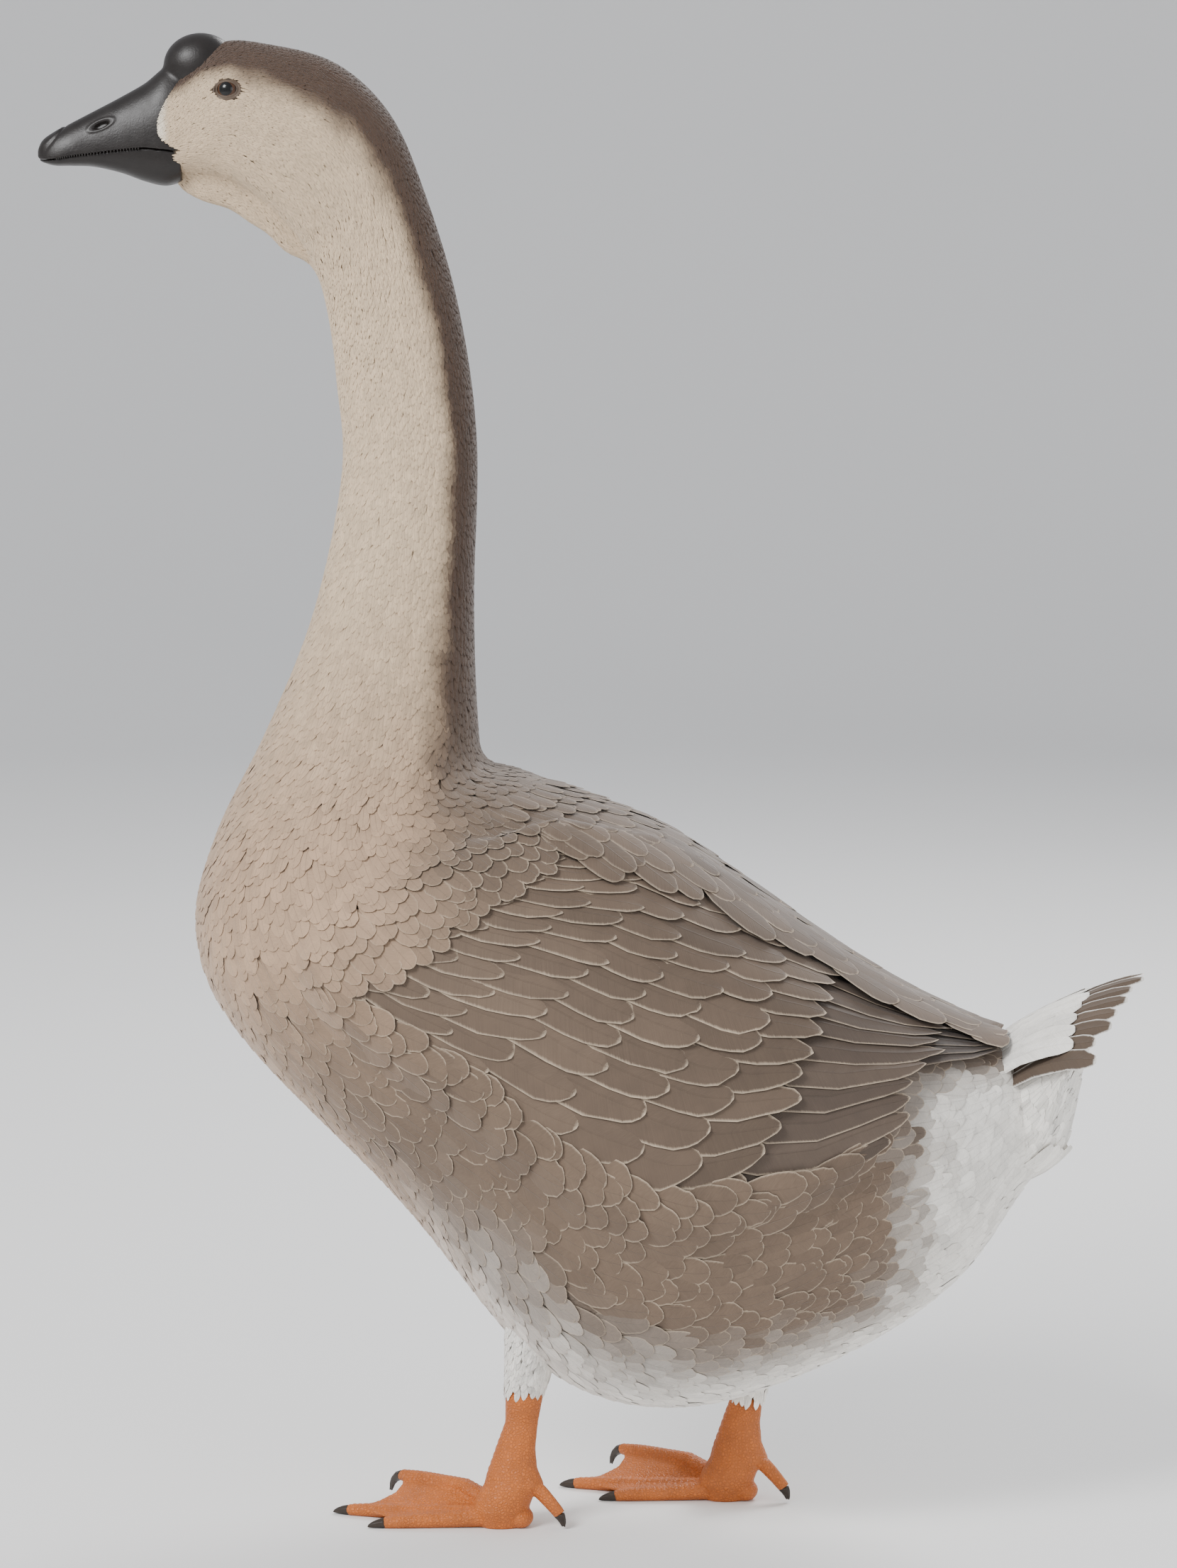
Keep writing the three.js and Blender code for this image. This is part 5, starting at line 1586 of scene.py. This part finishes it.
class GOOSE_OT_legs(bpy.types.Operator):
    """Models shanks, webbed feet and claws from smoothed copies of the solids"""

    bl_idname = "goose.legs"
    bl_label = "Legs"

    def execute(self, context):
        look = context.scene.goose_colours
        skin = self.leg_material(look)
        horn = horn_material("claw_horn", tuple(look.claw), 0.4)
        for side, leg in LEGS.items():
            foot = copy_of(f"leg_{side}", f"shank_{side}", f"foot_{side}")
            self.scutes(fused(foot, context.scene.goose_sizes.foot_voxel, 10), leg)
            hand_over(foot, "leg_orange", f"shank_{side}", f"foot_{side}", material=skin)
            nodes = [f"claw_{side}_{toe}" for toe in ("outer", "middle", "inner", "hind")]
            claws = fused(self.rooted_claws(side, leg, nodes), 0.4 * MM, 6)
            hand_over(claws, "claw_horn", *nodes, material=horn)
        return {"FINISHED"}

    def rooted_claws(self, side, leg, nodes):
        """Claws with their roots drawn out into the toes."""
        ankle = Vector((leg["ankle"], leg["out"] * FOOT_APART, 10)) * MM
        pieces = []
        for node in nodes:
            low, high = (Vector(corner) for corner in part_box(node))
            inwards = (ankle - (low + high) / 2).normalized() * 1.6 * MM
            root = copy_of(node, node)
            root.data.transform(Matrix.Translation(inwards))
            pieces += [copy_of(node, node), root]
        claws = take_up(*pieces)
        bpy.ops.object.join()
        claws.name = f"claws_{side}"
        return claws

    def scutes(self, foot, leg):
        """Raises a row of plates on top of each toe and up the front of the shank."""
        points, normals = points_of(foot.data), points_of(foot.data, "normal")
        x, y, z = (points / MM).T
        dx, dy = x - leg["ankle"], y - leg["out"] * FOOT_APART
        ahead = -dx * math.cos(FOOT_TURN) + dy * math.sin(FOOT_TURN)
        leftwards = -dx * math.sin(FOOT_TURN) - dy * math.cos(FOOT_TURN)
        shift = np.zeros(len(points))
        for degrees in TOES:
            toe = math.radians(degrees)
            along = ahead * math.cos(toe) + leftwards * math.sin(toe)
            off = np.abs(leftwards * math.cos(toe) - ahead * math.sin(toe))
            on = (1 - eased(off, 5, 7.5)) * eased(along, 12, 22) * eased(normals[:, 2], -0.25, 0.15)
            plate = np.abs(np.sin(math.pi * along / PLATES["toe"])) ** 0.35
            shift = np.maximum(shift, on * (plate - 0.5) * 0.8)
        front = eased(ahead, 3, 9) * eased(z, 24, 34) * eased(-normals[:, 0], 0.2, 0.7)
        shift = shift + front * (np.abs(np.sin(math.pi * z / PLATES["shank"])) ** 0.35 - 0.5) * 0.6
        move_points(foot, points + normals * (shift * MM)[:, None])

    def leg_material(self, look):
        shader = Shader("leg_skin")
        place = shader.place()
        scales = shader.cells(place, 520)
        mottle = shader.noise(place, 60, detail=4)
        # Painted shade: the colour darkens in the grooves between the scales, which the bump sinks; the
        # mottle is the skin's own uneven tone.
        base = shader.shade(tuple(look.leg), scales * 0.7 + mottle * 0.55 + 0.5)
        height = scales.smooth(0.0, 0.28)
        return shader.finish(base, 0.42 + mottle * 0.15, height + mottle, 0.28 * MM, Specular_IOR_Level=0.45)


class GOOSE_OT_stage(bpy.types.Operator):
    """Sets up the pale floor, soft studio lights and the camera"""

    bl_idname = "goose.stage"
    bl_label = "Stage"

    def execute(self, context):
        sizes = context.scene.goose_sizes
        self.floor(context)
        self.lights(context)
        aim = Vector((-sizes.aim_ahead, 0, sizes.aim_height))
        back = Vector((0, -math.cos(sizes.camera_rise), math.sin(sizes.camera_rise)))
        deselect()
        bpy.ops.object.camera_add(location=aim + back * sizes.camera_distance)
        camera = context.object
        camera.name = "goose_camera"
        camera.rotation_euler = (math.pi / 2 - sizes.camera_rise, 0, 0)
        camera.data.sensor_width = 36
        camera.data.lens = FOCUS_PIXELS * camera.data.sensor_width / IMAGE_HEIGHT
        camera.data.clip_start = 0.1
        context.scene.camera = camera
        return {"FINISHED"}

    def floor(self, context):
        """A round floor that curves up into a low backdrop on all sides."""
        flat, radius, end = 4.4, 2.3, math.radians(85)
        profile = [(0, 0, 0)]
        for turn in np.linspace(0, end, 40):
            profile.append((flat + radius * math.sin(turn), 0, radius * (1 - math.cos(turn))))
        mesh = bpy.data.meshes.new("floor")
        mesh.from_pydata(profile, [(k, k + 1) for k in range(len(profile) - 1)], [])
        floor = bpy.data.objects.new("floor", mesh)
        context.collection.objects.link(floor)
        steps = 160
        weld = {"use_merge_vertices": True, "merge_threshold": 0.1 * MM}
        modify(floor, "SCREW", steps=steps, render_steps=steps, **weld)
        if floor.data.polygons[0].normal.z < 0:
            floor.data.flip_normals()
        shade_smooth(floor)
        shader = Shader("pale_floor")
        tone = shader.noise(shader.place(), 1.5)
        base = shader.shade(tuple(context.scene.goose_colours.floor), tone * 0.03 + 0.985)
        floor.data.materials.append(shader.finish(base, 0.75, Specular_IOR_Level=0.2))

    def lights(self, context):
        world = bpy.data.worlds.new("studio")
        context.scene.world = world
        world.use_nodes = True
        background = world.node_tree.nodes["Background"].inputs
        background["Color"].default_value = (0.93, 0.95, 1.0, 1.0)
        background["Strength"].default_value = 0.7
        lamps = [
            # name, place, aim, size, watts
            ("key", (-1.9, -2.0, 2.5), (0, 0, 0.5), 1.2, 115),
            ("fill", (2.4, -2.2, 1.2), (0, 0, 0.4), 2.0, 24),
            ("back", (1.2, 2.0, 2.4), (0, 0, 0.6), 1.4, 70),
        ]
        for name, place, aim, size, watts in lamps:
            deselect()
            bpy.ops.object.light_add(type="AREA", location=place)
            lamp = context.object
            lamp.name = name
            lamp.data.size = size
            lamp.data.energy = watts
            lamp.rotation_euler = (Vector(aim) - Vector(place)).to_track_quat("-Z", "Y").to_euler()


PIECES = (
    GOOSE_OT_stage, GOOSE_OT_skin, GOOSE_OT_coat, GOOSE_OT_wings, GOOSE_OT_mantle, GOOSE_OT_tail,
    GOOSE_OT_bill, GOOSE_OT_eyes, GOOSE_OT_legs,
)


class GOOSE_PT_panel(bpy.types.Panel):
    """Lists the pieces of the goose in the order in which they are made"""

    bl_label = "Goose"
    bl_idname = "GOOSE_PT_panel"
    bl_space_type = "VIEW_3D"
    bl_region_type = "UI"
    bl_category = "Goose"

    def draw(self, context):
        for group in (context.scene.goose_sizes, context.scene.goose_colours):
            for name in group.bl_rna.properties.keys():
                if name not in ("rna_type", "name"):
                    self.layout.prop(group, name)
        for piece in PIECES:
            self.layout.operator(piece.bl_idname)


CLASSES = (GooseSizes, GooseColours, *PIECES, GOOSE_PT_panel)


def register():
    for kind in CLASSES:
        bpy.utils.register_class(kind)
    bpy.types.Scene.goose_sizes = PointerProperty(type=GooseSizes)
    bpy.types.Scene.goose_colours = PointerProperty(type=GooseColours)


def unregister():
    del bpy.types.Scene.goose_colours
    del bpy.types.Scene.goose_sizes
    for kind in reversed(CLASSES):
        bpy.utils.unregister_class(kind)


def main():
    register()
    bpy.ops.goose.stage()
    bpy.ops.goose.skin()
    bpy.ops.goose.coat()
    bpy.ops.goose.wings()
    bpy.ops.goose.mantle()
    bpy.ops.goose.tail()
    bpy.ops.goose.bill()
    bpy.ops.goose.eyes()
    bpy.ops.goose.legs()


if __name__ == "__main__":
    main()
